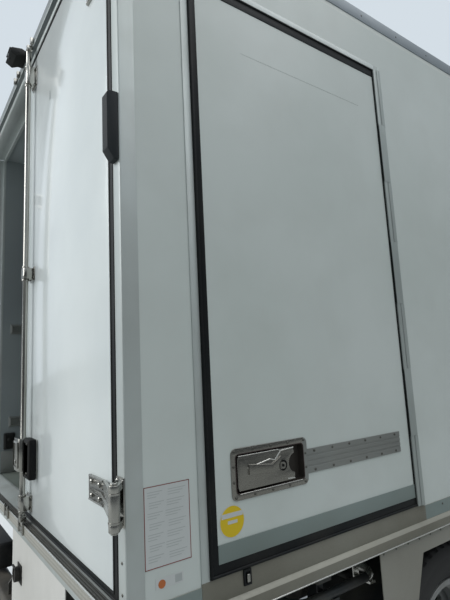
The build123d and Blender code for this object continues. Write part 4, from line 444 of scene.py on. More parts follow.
FINISHES = {
    # gelcoat over glass fibre: a soft shine with a faint ripple, greyed by road dust
    "gelcoat_side": ("#d0d8d6", "#c8d1ce", 0.0, 0.36, 0.03, "ripple", 160, 0.35, 0.20),
    # polished gelcoat on the rear leaves: near a mirror for the sky
    "gelcoat_rear": ("#e6eded", "#dde5e6", 0.0, 0.11, 0.02, "ripple", 180, 0.25, 0.08),
    # roof and front skin
    "gelcoat_roof": ("#dde2e0", "#ced5d2", 0.0, 0.38, 0.04, "ripple", 160, 0.30, 0.35),
    # anodised aluminium extrusion: satin, faint lengthwise draw lines
    "anodised_post": ("#c3cac9", "#b2bab8", 0.25, 0.40, 0.06, "drawn", 1.2, 0.03, 0.50),
    # weathered aluminium rail: duller and browner, with spots of dirt
    "weathered_rail": ("#8b8a80", "#757368", 0.30, 0.50, 0.12, "speckled", 5.0, 0.10, 0.45),
    # gelcoat inside the box, painted greyer than outside as shade inside the closed box, and duller
    "gelcoat_inner_shade": ("#9fa8aa", "#939c9f", 0.0, 0.42, 0.05, "ripple", 120, 0.20, 0.15),
    # dark painted gutter
    "painted_gutter": ("#6d7577", "#616869", 0.1, 0.45, 0.08, "orange_peel", 2.0, 0.04, 0.30),
    # full-height hinge profile: anodised, duller than the posts
    "anodised_hinge": ("#adb5b3", "#9da5a3", 0.25, 0.42, 0.08, "drawn", 1.2, 0.03, 0.25),
    # ribbed strip: mill-finish aluminium under a film of dust
    "mill_strip": ("#9c9f9c", "#8c8f8c", 0.55, 0.42, 0.10, "lengthwise", 1.2, 0.03, 0.25),
    # black moulded block behind the handle
    "moulded_black": ("#08090a", "#0d0e0f", 0.0, 0.62, 0.08, "orange_peel", 1.8, 0.06, 0.06),
    # the dark reddish line of sealant round the tray's bowl
    "sealant_line": ("#3d2b29", "#332523", 0.0, 0.55, 0.10, "orange_peel", 1.5, 0.05, 0.15),
    # zinc-plated screw heads gone dull
    "dull_zinc": ("#74746f", "#5f5f5a", 0.8, 0.46, 0.12, "scuffed", 2.0, 0.04, 0.35),
    # dark oxidised bolt heads
    "dark_bolt": ("#38362f", "#2b2924", 0.5, 0.55, 0.12, "cast", 2.0, 0.10, 0.45),
    # grey painted kick band
    "painted_band": ("#828f8d", "#768380", 0.0, 0.42, 0.08, "orange_peel", 2.0, 0.03, 0.22),
    # satin stainless of hinges, rods and handle: bright, finely brushed
    "brushed_stainless": ("#b6b5b0", "#94938d", 1.0, 0.21, 0.08, "drawn", 0.8, 0.02, 0.20),
    # pressed stainless tray and paddle, scuffed by hands
    "pressed_stainless": ("#a6a5a0", "#91908a", 0.75, 0.38, 0.12, "scuffed", 3.0, 0.05, 0.22),
    # bright metal laid on as painted highlights along edges, lips and the step tube's end, the brightest
    # metal on the truck
    "bright_edge": ("#e4e3de", "#cfcec8", 0.9, 0.22, 0.08, "scuffed", 2.0, 0.01, 0.05),
    # the paddle's face, rubbed bright by hands
    "rubbed_stainless": ("#a9a7a1", "#8a8882", 0.9, 0.26, 0.10, "scuffed", 2.0, 0.04, 0.18),
    # the tray's bowl: the same metal, darkened as painted shade in the recess
    "bowl_shade": ("#4a4641", "#36322e", 0.35, 0.55, 0.12, "cast", 3.0, 0.06, 0.30),
    # aluminium sill of the doorway, darkened on its top as painted shade
    "sill_top_shade": ("#5d5e5b", "#4c4d4a", 0.30, 0.52, 0.12, "cast", 4.0, 0.12, 0.40),
    # tread plate of the sill's face, worn pale
    "tread_plate": ("#d6d5cc", "#77766e", 0.30, 0.42, 0.12, "studs", 12.0, 1.20, 0.20),
    # extruded rubber seal: matt with a soft edge light
    "rubber_seal": ("#15191b", "#101315", 0.0, 0.50, 0.12, "orange_peel", 1.5, 0.06, 0.14),
    # moulded rubber buffer
    "rubber_block": ("#292e31", "#1f2326", 0.0, 0.62, 0.10, "orange_peel", 2.5, 0.10, 0.25),
    # grained black plastic
    "grained_plastic": ("#1f2224", "#171a1b", 0.0, 0.55, 0.10, "orange_peel", 1.8, 0.12, 0.22),
    # grey bumper plastic
    "bumper_plastic": ("#4b4f52", "#3f4346", 0.0, 0.56, 0.10, "orange_peel", 2.0, 0.10, 0.30),
    # chassis paint under dust
    "chassis_paint": ("#26292b", "#34332f", 0.0, 0.52, 0.14, "orange_peel", 3.0, 0.08, 0.65),
    # grey cast iron of the engine and gearbox
    "cast_iron": ("#5a5b59", "#494845", 0.4, 0.66, 0.12, "cast", 4.0, 0.35, 0.55),
    # bare aluminium tank
    "tank_aluminium": ("#b3b5b4", "#9d9f9d", 0.85, 0.34, 0.12, "scuffed", 6.0, 0.05, 0.35),
    # heat-tinted exhaust steel
    "exhaust_steel": ("#837b71", "#675a4d", 0.75, 0.52, 0.14, "scuffed", 8.0, 0.12, 0.55),
    # light grey skirt plates, browned by spray
    "skirt_paint": ("#98978f", "#89887f", 0.1, 0.44, 0.10, "orange_peel", 2.0, 0.03, 0.40),
    # the paler plate under the rear sill
    "rear_plate_paint": ("#dcdcd8", "#cfcfca", 0.0, 0.40, 0.10, "orange_peel", 2.0, 0.03, 0.15),
    # roof trim: anodised extrusion with a blue cast
    "roof_trim": ("#949da4", "#868f96", 0.25, 0.42, 0.08, "lengthwise", 1.2, 0.03, 0.20),
    # the foot rail's ledge, rubbed pale
    "worn_ledge": ("#a09f94", "#919086", 0.25, 0.46, 0.10, "speckled", 5.0, 0.08, 0.30),
    # dark painted ladder tube
    "tube_paint": ("#2b3034", "#363a3c", 0.2, 0.40, 0.12, "orange_peel", 2.0, 0.05, 0.35),
    # floor: grained resin with a grey-green tint, worn by loads
    "resin_floor": ("#707a74", "#5d6660", 0.0, 0.62, 0.12, "cast", 5.0, 0.30, 0.40),
    # gloss cab paint
    "cab_paint": ("#dfe2e2", "#d8dcdb", 0.0, 0.20, 0.05, "orange_peel", 1.2, 0.01, 0.14),
    # plastic housing of the cooling unit
    "unit_plastic": ("#dadedd", "#cdd2d0", 0.0, 0.38, 0.08, "orange_peel", 2.0, 0.04, 0.28),
    # dark moulded louvres
    "louvre_plastic": ("#2a2d2f", "#222527", 0.0, 0.50, 0.10, "orange_peel", 2.0, 0.08, 0.30),
    # silver wheel paint
    "wheel_paint": ("#9a9d9e", "#86898a", 0.30, 0.40, 0.10, "orange_peel", 2.0, 0.03, 0.60),
    # tyre rubber, greyed on its walls
    "tyre_rubber": ("#1d1e1f", "#2a2a29", 0.0, 0.72, 0.10, "orange_peel", 3.0, 0.10, 0.50),
    # soft grained dashboard
    "dash_plastic": ("#3a3d3f", "#313436", 0.0, 0.60, 0.08, "orange_peel", 1.6, 0.14, 0.12),
    # black seat pressings
    "seat_frame_paint": ("#1f2123", "#262829", 0.1, 0.45, 0.10, "orange_peel", 2.0, 0.05, 0.15),
    # blank film stickers
    "label_white": ("#cfd4d4", "#c4c9c9", 0.0, 0.40, 0.06, "orange_peel", 3.0, 0.01, 0.10),
    "label_yellow": ("#e6cc1e", "#d8bb10", 0.0, 0.42, 0.06, "orange_peel", 3.0, 0.01, 0.15),
    "label_red": ("#8d4a45", "#80413d", 0.0, 0.45, 0.06, "orange_peel", 3.0, 0.01, 0.10),
    "label_orange": ("#c4713a", "#b5642f", 0.0, 0.45, 0.06, "orange_peel", 3.0, 0.01, 0.10),
    "label_grey": ("#b4bbbb", "#a9b0b0", 0.0, 0.45, 0.06, "orange_peel", 3.0, 0.01, 0.10),
    # the dark line of a scuff on the gelcoat
    "scuff_line": ("#7d8785", "#6a7270", 0.0, 0.60, 0.10, "scuffed", 2.0, 0.01, 0.10),
    # lamp lenses
    "lens_red": ("#9c1410", "#7f0f0c", 0.0, 0.12, 0.04, "prism", 6.0, 0.30, 0.12),
    "lens_amber": ("#c9650c", "#b0560a", 0.0, 0.12, 0.04, "prism", 6.0, 0.30, 0.12),
    "lens_clear": ("#c3cbce", "#b1babd", 0.1, 0.10, 0.04, "prism", 8.0, 0.30, 0.08),
    # silvered mirror glass
    "mirror_glass": ("#c8ced0", "#c0c6c8", 1.0, 0.04, 0.02, "ripple", 80, 0.01, 0.05),
    # black glass of the camera's eye
    "camera_glass": ("#0c0f12", "#10141a", 0.0, 0.06, 0.02, "ripple", 50, 0.01, 0.05),
    # pale grey paint of the evaporator
    "evaporator_paint": ("#c8cccb", "#bcc0be", 0.0, 0.42, 0.08, "orange_peel", 2.0, 0.03, 0.15),
}

# black rubbers and plastics whose surface throws back less light than gloss plastic
MATT = ("moulded_black", "rubber_seal", "rubber_block", "grained_plastic", "tyre_rubber")

GRAINS = {
    # name: stretch of the pattern along X, Y and Z, and detail
    "ripple": ((1.0, 1.0, 1.0), 1.5),
    "drawn": ((1.0, 1.0, 0.012), 3.0),
    "lengthwise": ((0.012, 1.0, 1.0), 3.0),
    "speckled": ((0.5, 1.0, 1.0), 7.0),
    "orange_peel": ((1.0, 1.0, 1.0), 2.0),
    "scuffed": ((0.12, 1.0, 1.0), 5.0),
    "cast": ((1.0, 1.0, 1.0), 8.0),
    "prism": ((1.0, 1.0, 1.0), 0.0),
    "studs": ((1.0, 1.0, 1.0), 0.0),
}

DUST = "#7c766a"
# sockets of a Map Range node, in the order in which its limits are written here
LIMITS = ("From Min", "From Max", "To Min", "To Max")


def paint(name):
    """Build one procedural finish from its row in FINISHES."""
    base, second, metal, rough, spread, grain, size, height, dirt = FINISHES[name]
    tree = clear_tree(bpy.data.materials.new(name))
    place = add_node(tree, "TexCoord").outputs["Object"]
    stretch, detail = GRAINS[grain]
    scale = tuple(value * 1000 / size for value in stretch)
    mapped = add_node(tree, "Mapping", {"Scale": scale}, {"Vector": place})
    if grain in ("prism", "studs"):
        cells = {"feature": "F1", "Scale": 1.0, "Randomness": 0.0}
        fine = add_node(tree, "TexVoronoi", cells, {"Vector": mapped})
    else:
        noise = {"Scale": 1.0, "Detail": detail, "Roughness": 0.6}
        fine = add_node(tree, "TexNoise", noise, {"Vector": mapped})
    cloud = add_node(tree, "TexNoise", {"Scale": 1.7, "Detail": 4.0}, {"Vector": place})
    tone = add_node(tree, "MapRange", dict(zip(LIMITS, (0.35, 0.65))), {"Value": cloud})
    shades = {"data_type": "RGBA", 6: (*linear(base), 1), 7: (*linear(second), 1)}
    colour = add_node(tree, "Mix", shades, {0: fine if grain == "studs" else tone})
    # dust: more of it low down, in blotches a hand or two wide
    up = add_node(tree, "SeparateXYZ", {}, {"Vector": place}).outputs["Z"]
    low = add_node(tree, "MapRange", dict(zip(LIMITS, (1.5, 0.2, 0.25, 1.0))), {"Value": up})
    blotch = add_node(tree, "TexNoise", {"Scale": 6.0, "Detail": 6.0}, {"Vector": place})
    patch = add_node(tree, "MapRange", dict(zip(LIMITS, (0.42, 0.72, 0.0, dirt))), {"Value": blotch})
    share = add_node(tree, "Math", {"operation": "MULTIPLY"}, {0: low, 1: patch})
    dust = {"data_type": "RGBA", 7: (*linear(DUST), 1)}
    dusty = add_node(tree, "Mix", dust, {0: share, 6: colour.outputs[2]})
    # the grain and the dust make the surface rougher and smoother by turns
    span = dict(zip(LIMITS, (0.3, 0.7, rough - spread, rough + spread)))
    roughness = add_node(tree, "MapRange", span, {"Value": fine})
    duller = {"operation": "MULTIPLY_ADD", 1: 0.35}
    soiled = add_node(tree, "Math", duller, {0: share, 2: roughness})
    bump = {"Strength": 0.6, "Distance": height / 1000}
    relief = add_node(tree, "Bump", bump, {"Height": fine})
    settings = {"Metallic": metal}
    if name in MATT:
        settings["IOR"] = 1.3
    links = {"Base Color": dusty.outputs[2], "Roughness": soiled, "Normal": relief}
    shader = add_node(tree, "BsdfPrincipled", settings, links)
    add_node(tree, "OutputMaterial", {}, {"Surface": shader})


def tinted_glass():
    """Float glass with a faint green tint and a film of dust."""
    tree = clear_tree(bpy.data.materials.new("tinted_glass"))
    place = add_node(tree, "TexCoord").outputs["Object"]
    film = add_node(tree, "TexNoise", {"Scale": 7.0, "Detail": 5.0}, {"Vector": place})
    rough = add_node(tree, "MapRange", {"To Min": 0.02, "To Max": 0.10}, {"Value": film})
    glass = {"Base Color": (*linear("#39443f"), 1), "Alpha": 0.42, "IOR": 1.5}
    shader = add_node(tree, "BsdfPrincipled", glass, {"Roughness": rough})
    add_node(tree, "OutputMaterial", {}, {"Surface": shader})


def woven_cloth():
    """Flat-woven seat cloth: a 3 mm weave with flecks, soft at a glance."""
    tree = clear_tree(bpy.data.materials.new("woven_cloth"))
    place = add_node(tree, "TexCoord").outputs["Object"]
    threads = []
    for direction in ("Y", "DIAGONAL"):
        wave = {"bands_direction": direction, "Scale": 105.0, "Distortion": 0.4}
        threads.append(add_node(tree, "TexWave", wave, {"Vector": place}).outputs["Fac"])
    warp, weft = threads
    weave = add_node(tree, "Math", {"operation": "MULTIPLY"}, {0: warp, 1: weft})
    fleck = add_node(tree, "TexNoise", {"Scale": 260.0, "Detail": 2.0}, {"Vector": place})
    mixed = add_node(tree, "Math", {"operation": "MULTIPLY_ADD", 1: 0.5}, {0: fleck, 2: weave})
    yarns = {"data_type": "RGBA", 6: (*linear("#25292e"), 1), 7: (*linear("#4a5058"), 1)}
    colour = add_node(tree, "Mix", yarns, {0: mixed})
    relief = add_node(tree, "Bump", {"Strength": 0.5, "Distance": 0.0008}, {"Height": weave})
    cloth = {"Roughness": 0.88, "Sheen Weight": 0.35}
    links = {"Base Color": colour.outputs[2], "Normal": relief}
    shader = add_node(tree, "BsdfPrincipled", cloth, links)
    add_node(tree, "OutputMaterial", {}, {"Surface": shader})


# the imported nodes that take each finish
NODE_FINISHES = {
    "chassis_paint": "chassis_frame body_bearers front_axle rear_axle rear_underrun track_rod",
    "cast_iron": "driveline knuckle_left knuckle_right",
    "tank_aluminium": "fuel_tank",
    "exhaust_steel": "exhaust",
    "lens_red": "lamps",
    "grained_plastic": "battery_box wheel_guards reversing_camera cab_grille mirrors",
    "weathered_rail": "side_guards box_rails",
    "skirt_paint": "skirt_plates",
    "tube_paint": "step_tube",
    "resin_floor": "box_floor",
    "gelcoat_side": "side_wall_left side_wall_right side_door_leaf",
    "gelcoat_roof": "box_roof front_wall",
    "gelcoat_rear": "rear_leaf_right rear_leaf_left",
    "anodised_post": "rear_frame side_door_frame",
    "brushed_stainless": "rear_hinge_posts rear_fittings_right rear_fittings_left",
    "pressed_stainless": "side_door_fittings",
    "rubber_block": "rubber_buffers",
    "rubber_seal": "rear_gasket_right rear_gasket_left side_door_seal",
    "unit_plastic": "refrigeration_unit",
    "louvre_plastic": "unit_grille",
    "evaporator_paint": "evaporator",
    "cab_paint": "cab_shell cab_door_right cab_door_left",
    "tinted_glass": "windscreen cab_window_right cab_window_left",
    "dash_plastic": "dashboard",
    "seat_frame_paint": "seat_frames",
    "woven_cloth": "seats",
    "bumper_plastic": "bumper",
    "wheel_paint": "front_rim_left front_rim_right rear_rims_left rear_rims_right",
    "tyre_rubber": "front_tyre_left front_tyre_right rear_tyres_left rear_tyres_right",
}


# What a user would change


class TruckSizes(bpy.types.PropertyGroup):
    screw: bpy.props.FloatProperty(
        name="Screw head",
        description="Radius of the box's screw heads",
        default=0.0045,
        min=0.002,
        max=0.01,
        unit="LENGTH",
    )
    seal_bead: bpy.props.FloatProperty(
        name="Seal bead",
        description="Radius of the round lip on the side door's seal",
        default=0.0045,
        min=0.002,
        max=0.008,
        unit="LENGTH",
    )


class TruckLight(bpy.types.PropertyGroup):
    sky: bpy.props.FloatVectorProperty(
        name="Sky",
        description="Colour of the studio's soft sky",
        subtype="COLOR",
        default=linear("#dfe6ea"),
        min=0,
        max=1,
    )
    sky_strength: bpy.props.FloatProperty(
        name="Sky strength",
        description="How bright the soft sky is",
        default=0.44,
        min=0,
        max=3,
    )
    backdrop: bpy.props.FloatVectorProperty(
        name="Backdrop",
        description="Colour of the backdrop that the camera and shiny metal see",
        subtype="COLOR",
        default=linear("#d6e0e8"),
        min=0,
        max=1,
    )
    backdrop_strength: bpy.props.FloatProperty(
        name="Backdrop strength",
        description="How bright that backdrop is",
        default=0.98,
        min=0,
        max=2,
    )


# Pieces, one operator for each group. Each piece's own function stands before it.


class TRUCK_OT_finishes(bpy.types.Operator):
    """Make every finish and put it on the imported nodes"""

    bl_idname = "truck.finishes"
    bl_label = "Finishes"

    def execute(self, context):
        for name in FINISHES:
            paint(name)
        tinted_glass()
        woven_cloth()
        nodes = frame["nodes"]
        for finish, names in NODE_FINISHES.items():
            for node in names.split():
                nodes[node].data.materials.clear()
                nodes[node].data.materials.append(bpy.data.materials[finish])
        # the box's inward faces get the greyer gelcoat as painted shade
        for node, inwards in (
            ("side_wall_right", (0, 1, 0)),
            ("side_wall_left", (0, -1, 0)),
            ("box_roof", (0, 0, -1)),
            ("front_wall", (-1, 0, 0)),
        ):
            second_finish(nodes[node], "gelcoat_inner_shade", facing(inwards, 0.5))
        # the step tube's end gets the bright metal as a painted highlight
        second_finish(nodes["step_tube"], "bright_edge", within(ahead=(985, FAR)))
        second_finish(nodes["skirt_plates"], "rear_plate_paint", within(ahead=(-FAR, 200)))
        return {"FINISHED"}


def sticker(spans, face, thick, sunk=0):
    """Pieces of sticker on the right side, each from its ends and its foot and top."""
    return join([slab(x0, x1, face - thick, face - sunk, z0, z1) for x0, x1, z0, z1 in spans])


def ruled_sticker():
    """The ruled sticker with its red edge."""
    face = -SKIN - 0.2
    white = sticker([(52, 188, 1075, 1276)], face, 0.4)
    complete(white, "side_sticker", "truck", "label_white", 0)
    edges = [(52, 188, 1075, 1077), (52, 188, 1274, 1276)]
    edges += [(52, 54, 1075, 1276), (186, 188, 1075, 1276)]
    edge = sticker(edges, face, 0.7, 0.2)
    complete(edge, "side_sticker_frame", "truck", "label_red", 0)
    rows = []
    for row in range(7):
        for start, width in ((62 + row % 2 * 4, 44), (122 - row % 3 * 4, 54)):
            for line in range(3):
                top = 1262 - row * 26 - line * 6.5
                rows.append((start, start + width - line * 9, top - 1.6, top))
    lines = sticker(rows, face, 0.6, 0.3)
    complete(lines, "side_sticker_fields", "truck", "label_grey", 0)


def small_sticker():
    """The small sticker under it, with a dot and a square."""
    face = -SKIN - 0.2
    white = sticker([(80, 161, 1023, 1049)], face, 0.4)
    complete(white, "small_label", "truck", "label_white", 0)
    dot = bar((98, face, 1034), (98, face - 0.7, 1034), 10.5, 24)
    complete(dot, "small_label_spot", "truck", "label_orange", 0)
    square = sticker([(137, 157, 1027, 1046)], face, 0.7)
    complete(square, "small_label_field", "truck", "label_grey", 0)


def round_sticker():
    """The round sticker on the side door, with two blank fields."""
    face = -SIDE - 0.2
    for name, radius, thick, finish in (
        ("round_label_edge", 44.5, 0.4, "label_white"),
        ("round_label", 42, 0.7, "label_yellow"),
    ):
        disc = bar((325, face, 1137), (325, face - thick, 1137), radius, 48)
        complete(disc, name, "side_door", finish, 0)
    fields = sticker([(288, 363, 1148, 1161), (309, 343, 1131, 1140)], face, 1.0, 0.3)
    complete(fields, "round_label_bars", "side_door", "label_white", 0)


class TRUCK_OT_labels(bpy.types.Operator):
    """Blank stickers on the rear right corner and the side door"""

    bl_idname = "truck.labels"
    bl_label = "Blank stickers"

    def execute(self, context):
        ruled_sticker()
        small_sticker()
        round_sticker()
        return {"FINISHED"}


def seal_lip(bead):
    """The round bead on the side door's seal, along its foot, rear and top."""
    rear, front, foot, top = 243 + bead, 1222, 1001 + bead, 2874 - bead
    y = -SIDE - 2
    lips = [bar((rear, y, foot), (rear, y, top), bead)]
    lips += [bar((rear, y, z), (front, y, z), bead) for z in (top, foot)]
    lips += [ball(spot(rear, y, z), (bead,) * 3, 16, 10) for z in (foot, top)]
    complete(join(lips), "side_door_seal_lip", "side_door", "rubber_seal", 60)


def door_hardware():
    """The side door's hinge, kick band, ribbed strip, paddle and bowl, each in its finish, the bowl
    darkened as painted shade.
    """
    hardware = softened("side_door_fittings", "side_door_hardware", 1.2, "pressed_stainless")
    for finish, zone in (
        ("anodised_hinge", within(ahead=(HINGE_LINE, FAR))),
        ("painted_band", within(ahead=(-FAR, HINGE_LINE), up=(0, 1090))),
        ("mill_strip", within(ahead=(638.5, 1200), up=(1210, 1300))),
        ("rubbed_stainless", within(ahead=(351, 586), up=(1207, 1316))),
        # the bowl's darker finish is painted shade in the recess
        ("bowl_shade", within(ahead=(340, 626), left=(6.5 - SIDE, FAR), up=(1200, 1322))),
    ):
        second_finish(hardware, finish, zone)
    flatten(hardware, HINGE_LINE, 1300, -1134)
    # the hinge's flat flange as one straight strip, with a black slab beside it as painted shade in the
    # gap
    strip = slab(1215, 1237, -1133.8, -1125.2, 1001, 2874, 1.2)
    complete(strip, "hinge_strip", "side_door", "anodised_hinge")
    gap = slab(1209.5, 1215.5, -1129.5, -1124.5, 1002, 2873, 0.4, 1)
    complete(gap, "hinge_gap", "side_door", "rubber_seal")


def paddle_edges():
    """Bright beads as painted highlights along the paddle's top, its prongs, its raised crease and the
    bowl's lower rim.
    """
    edges = []
    for start, end, y, radius in (
        ((356, 1311), (512, 1311), -1126.6, 1.7),
        ((512, 1311), (524, 1306), -1126.6, 1.7),
        ((524, 1306), (577, 1309), -1126.6, 2.4),
        ((389, 1272), (478, 1287), -1125.9, 2.6),
        ((478, 1287), (498, 1281), -1125.9, 2.6),
        ((498, 1281), (524, 1306), -1125.9, 2.8),
        ((546, 1217), (577, 1215), -1126.6, 2.2),
        ((356, 1213.5), (536, 1213.5), -1125.4, 1.2),
    ):
        one, two = [(x, y, z) for x, z in (start, end)]
        edges += [bar(one, two, radius, 10), ball(spot(*two), (radius,) * 3, 10, 6)]
    # a painted highlight along the bowl's lower rim
    edges.append(bar((356, -1128.2, 1204.6), (610, -1128.2, 1204.6), 1.3, 10))
    complete(join(edges), "paddle_edges", "side_door", "bright_edge", 60)


def tray_sealant():
    """The line of sealant round the tray's bowl, with rounded corners."""
    rear, front, foot, top, corner = 356, 610, 1216, 1307, 11
    loop = []
    for x, z, start in (
        (rear, foot, 180),
        (front, foot, 270),
        (front, top, 0),
        (rear, top, 90),
    ):
        for step in range(5):
            turn = math.radians(start + step * 22.5)
            loop.append((x + corner * math.cos(turn), -1127.6, z + corner * math.sin(turn)))
    line = [bar(one, two, 1.5, 10) for one, two in zip(loop, loop[1:] + loop[:1])]
    complete(join(line), "tray_sealant", "side_door", "sealant_line", 60)


def door_screws(screw):
    """Rivets round the tray, and screws along the ribbed strip ahead of it."""
    face = -SIDE - 3
    places = [spot(x, face, z) for x in (342, 412, 483, 554, 624) for z in (1196.5, 1326.5)]
    places += [spot(x, face, z) for z in (1240, 1284) for x in (336.5, 629.5)]
    heads = studded(fastener(4.2, 2.2), places, (0, -1, 0))
    complete(heads, "tray_rivets", "side_door", "dull_zinc")
    places = [spot(672 + step * 88.5, face, z) for step in range(6) for z in (1226.5, 1286.5)]
    heads = studded(fastener(screw, 2.4, 12, 0.5), places, (0, -1, 0))
    complete(heads, "strip_screws", "side_door", "dull_zinc")


def door_lock():
    """The paddle's lock: a barrel with a key slot in a black ring."""
    x, y, z = 526, -SIDE - 6, 1262
    barrel = recess(bar((x, y, z), (x, y - 3.4, z), 10.5, 32), (0, -1, 0), 2.8, 1.6)
    key = slab(x - 1.2, x + 1.2, y - 2.4, y - 1, z - 5, z + 5)
    barrel = join([bevel(barrel, 0.5), key])
    complete(barrel, "lock_barrel", "side_door", "pressed_stainless")
    ring = recess(bar((x, y, z), (x, y - 2.4, z), 16.5, 32), (0, -1, 0), 2.2, 1.0)
    eye = join([ring, bar((x, y, z), (x, y - 3.8, z), 4.2, 20, 0.4, 1)])
    complete(eye, "lock_ring", "side_door", "moulded_black")


def door_scuff():
    """A scuff across the door that thins out at its ends."""
    scuff = slab(455, 1093, -SIDE - 0.4, -SIDE, 2659, 2661.2)
    taper(scuff, (-1, 0, 0), (1, 1, 0.1))
    taper(scuff, (1, 0, 0), (1, 1, 0.3))
    complete(scuff, "door_scuff", "side_door", "scuff_line", 0)


def door_catch():
    """The hold-back catch on the rail under the door."""
    catch = recess(slab(354, 381, -SIDE - 6, -SIDE, 957, 1000), (0, -1, 0), 6, 4)
    bevel(catch, 1)
    complete(catch, "side_door_catch", "truck", "grained_plastic")
    keeper = slab(362, 373, -SIDE - 11, -SIDE - 4, 966, 988, 2, 3)
    complete(keeper, "side_door_keeper", "truck", "brushed_stainless")


class TRUCK_OT_side_door(bpy.types.Operator):
    """The side door's seal lip, handle details, screws and scuff"""

    bl_idname = "truck.side_door"
    bl_label = "Side door"

    def execute(self, context):
        size = context.scene.truck_sizes
        seal_lip(1000 * size.seal_bead)
        softened("side_door_seal", "side_door_rubber", 1.5, "rubber_seal")
        door_hardware()
        paddle_edges()
        tray_sealant()
        door_screws(1000 * size.screw)
        door_lock()
        door_scuff()
        door_catch()
        return {"FINISHED"}


def on_leaves(piece, name, finish, smooth=35):
    """Complete a piece of the right leaf and its folded likeness on the left leaf."""
    complete(folded(piece), f"{name}_left", "rear_door_left", finish, smooth)
    complete(piece, f"{name}_right", "rear_door_right", finish, smooth)


def strap_details():
    """Bolts and pressed ridges on the hinge straps, and collars round the pins."""
    bolts, ridges = [], []
    for height in HINGE_HEIGHTS:
        bolts += [spot(-7, y, height + rise) for y in (-966, -905) for rise in (-19, 19)]
        for z in (height - 32.5, height + 32.5):
            ridges.append(bar((-7, -992, z), (-7, -884, z), 2.6, 12))
        for z in (height - 11, height + 11):
            ridges.append(drum(spot(-7, -990, z), spot(-7, -900, z), 2.2, 12, 0.8))
        for z in (height - 35.2, height + 31):
            foot, top = [(PIN_AHEAD, -PIN_SIDE, level) for level in (z, z + 4.2)]
            ridges.append(bar(foot, top, 15.2, 28))
    heads = studded(fastener(6.8, 5, 14), bolts, (-1, 0, 0))
    on_leaves(heads, "hinge_bolts", "brushed_stainless")
    on_leaves(join(ridges), "hinge_ridges", "brushed_stainless", 60)


def rod_guides():
    """The guides of the lock rod: plates, collars, ribs and screws."""
    bands, screws = [], []
    for foot, height in ((1040, 53), (2000, 48), (2925, 85)):
        top = foot + height
        bands.append(slab(-3, -0.2, ROD - 41, ROD + 41, foot - 7, top + 7, 1.2))
        for z in (foot - 9, top + 1):
            bands.append(bar((-30, ROD, z), (-30, ROD, z + 8), 15.5, 24, 1.5))
        for z in (foot + 12, top - 12):
            bands.append(slab(-45.6, -43, ROD - 13, ROD + 13, z - 2.2, z + 2.2, 0.8))
        screws += [spot(-3, y, z) for y in (ROD - 34, ROD + 34) for z in (foot + 4, top - 4)]
    on_leaves(join(bands), "rod_guides", "brushed_stainless", 50)
    heads = studded(fastener(4.8, 3.6, 12, 0.4), screws, (-1, 0, 0))
    on_leaves(heads, "guide_screws", "dull_zinc")


def leaf_handle():
    """A pressed cover with a rim, a rounded button, the skirt's fold and a black base."""
    cover = slab(-55.5, -51.5, ROD - 14, ROD + 63, 1207, 1313, 3, 3)
    recess(cover, (-1, 0, 0), 6, 1.8)
    button = bar((-51.5, ROD + 24, 1232), (-57.5, ROD + 24, 1232), 8.5, 24, 1.6, 3)
    skirt = slab(-40, -12, ROD + 70, ROD + 76, 1203, 1317, 2.5, 3)
    lever = join([cover, button, skirt])
    on_leaves(lever, "handle_cover", "brushed_stainless", 40)
    base = slab(-33.5, -3, ROD - 119, ROD - 15, 1172, 1328, 7, 4)
    recess(base, (-1, 0, 0), 12, 3.5)
    on_leaves(base, "handle_base", "moulded_black", 40)
    pins = [spot(-30, ROD - 67, z) for z in (1192, 1308)]
    heads = studded(fastener(5.5, 3.5, 14, 0.4), pins, (-1, 0, 0))
    on_leaves(heads, "handle_screws", "dull_zinc")


def gasket_lips():
    """An outer and an inner round bead on each leaf's gasket."""
    lips = []
    for y0, y1, z0, z1, radius in (
        (-1073.5, -11.5, 1000, 3077.5, 4.2),
        (-1043.5, -13, 1013.5, 3067.5, 2.4),
    ):
        lips += [bar((2, y, z0), (2, y, z1), radius) for y in (y0, y1)]
        lips += [bar((2, y0, z), (2, y1, z), radius) for z in (z0, z1)]
        lips += [ball(spot(2, y, z), (radius,) * 3, 12, 8) for y in (y0, y1) for z in (z0, z1)]
    on_leaves(join(lips), "gasket_lips", "rubber_seal", 60)


class TRUCK_OT_rear_doors(bpy.types.Operator):
    """Both rear leaves: bevelled fittings, bolts, guide bands, handle, seal lips and edge caps"""

    bl_idname = "truck.rear_doors"
    bl_label = "Rear doors"

    def execute(self, context):
        for side in ("right", "left"):
            softened(f"rear_fittings_{side}", f"rear_hardware_{side}", 1.4, "brushed_stainless")
            softened(f"rear_leaf_{side}", f"rear_panel_{side}", 2, "gelcoat_rear")
        strap_details()
        rod_guides()
        leaf_handle()
        gasket_lips()
        # the profile capping the leaf's free edge, and the shadow line beside it
        cap = slab(-1.6, 0.2, -74, -15.5, 1019, 3063, 0.6)
        on_leaves(cap, "edge_cap", "gelcoat_rear")
        groove = slab(-2.2, -1.4, -52, -48, 1019.5, 3062.5, 0.3, 1)
        on_leaves(groove, "edge_cap_line", "gelcoat_side")
        mark = slab(-0.6, 0.1, -412, -399, 2728, 2764)
        taper(mark, (0, 0, 1), (1, 0.3, 1))
        complete(mark, "leaf_scuff_right", "rear_door_right", "scuff_line", 0)
        return {"FINISHED"}


def doorway_frame():
    """The posts, header and sill, with the gutter in its own finish, the sill's top darkened as painted
    shade and its face in tread plate.
    """
    shell = softened("rear_frame", "doorway_frame", 1.2, "anodised_post")
    second_finish(shell, "painted_gutter", within(ahead=(-FAR, -0.5), up=(3105, FAR)))
    # the sill's top gets a darker finish as painted shade; its rearward face is set apart below
    second_finish(shell, "sill_top_shade", within(ahead=(-FAR, -0.5), up=(-FAR, 995)))
    sill = within(ahead=(-FAR, -28.5), up=(-FAR, 987.5))
    second_finish(shell, "tread_plate", both(sill, facing((-1, 0, 0), 0.5)))


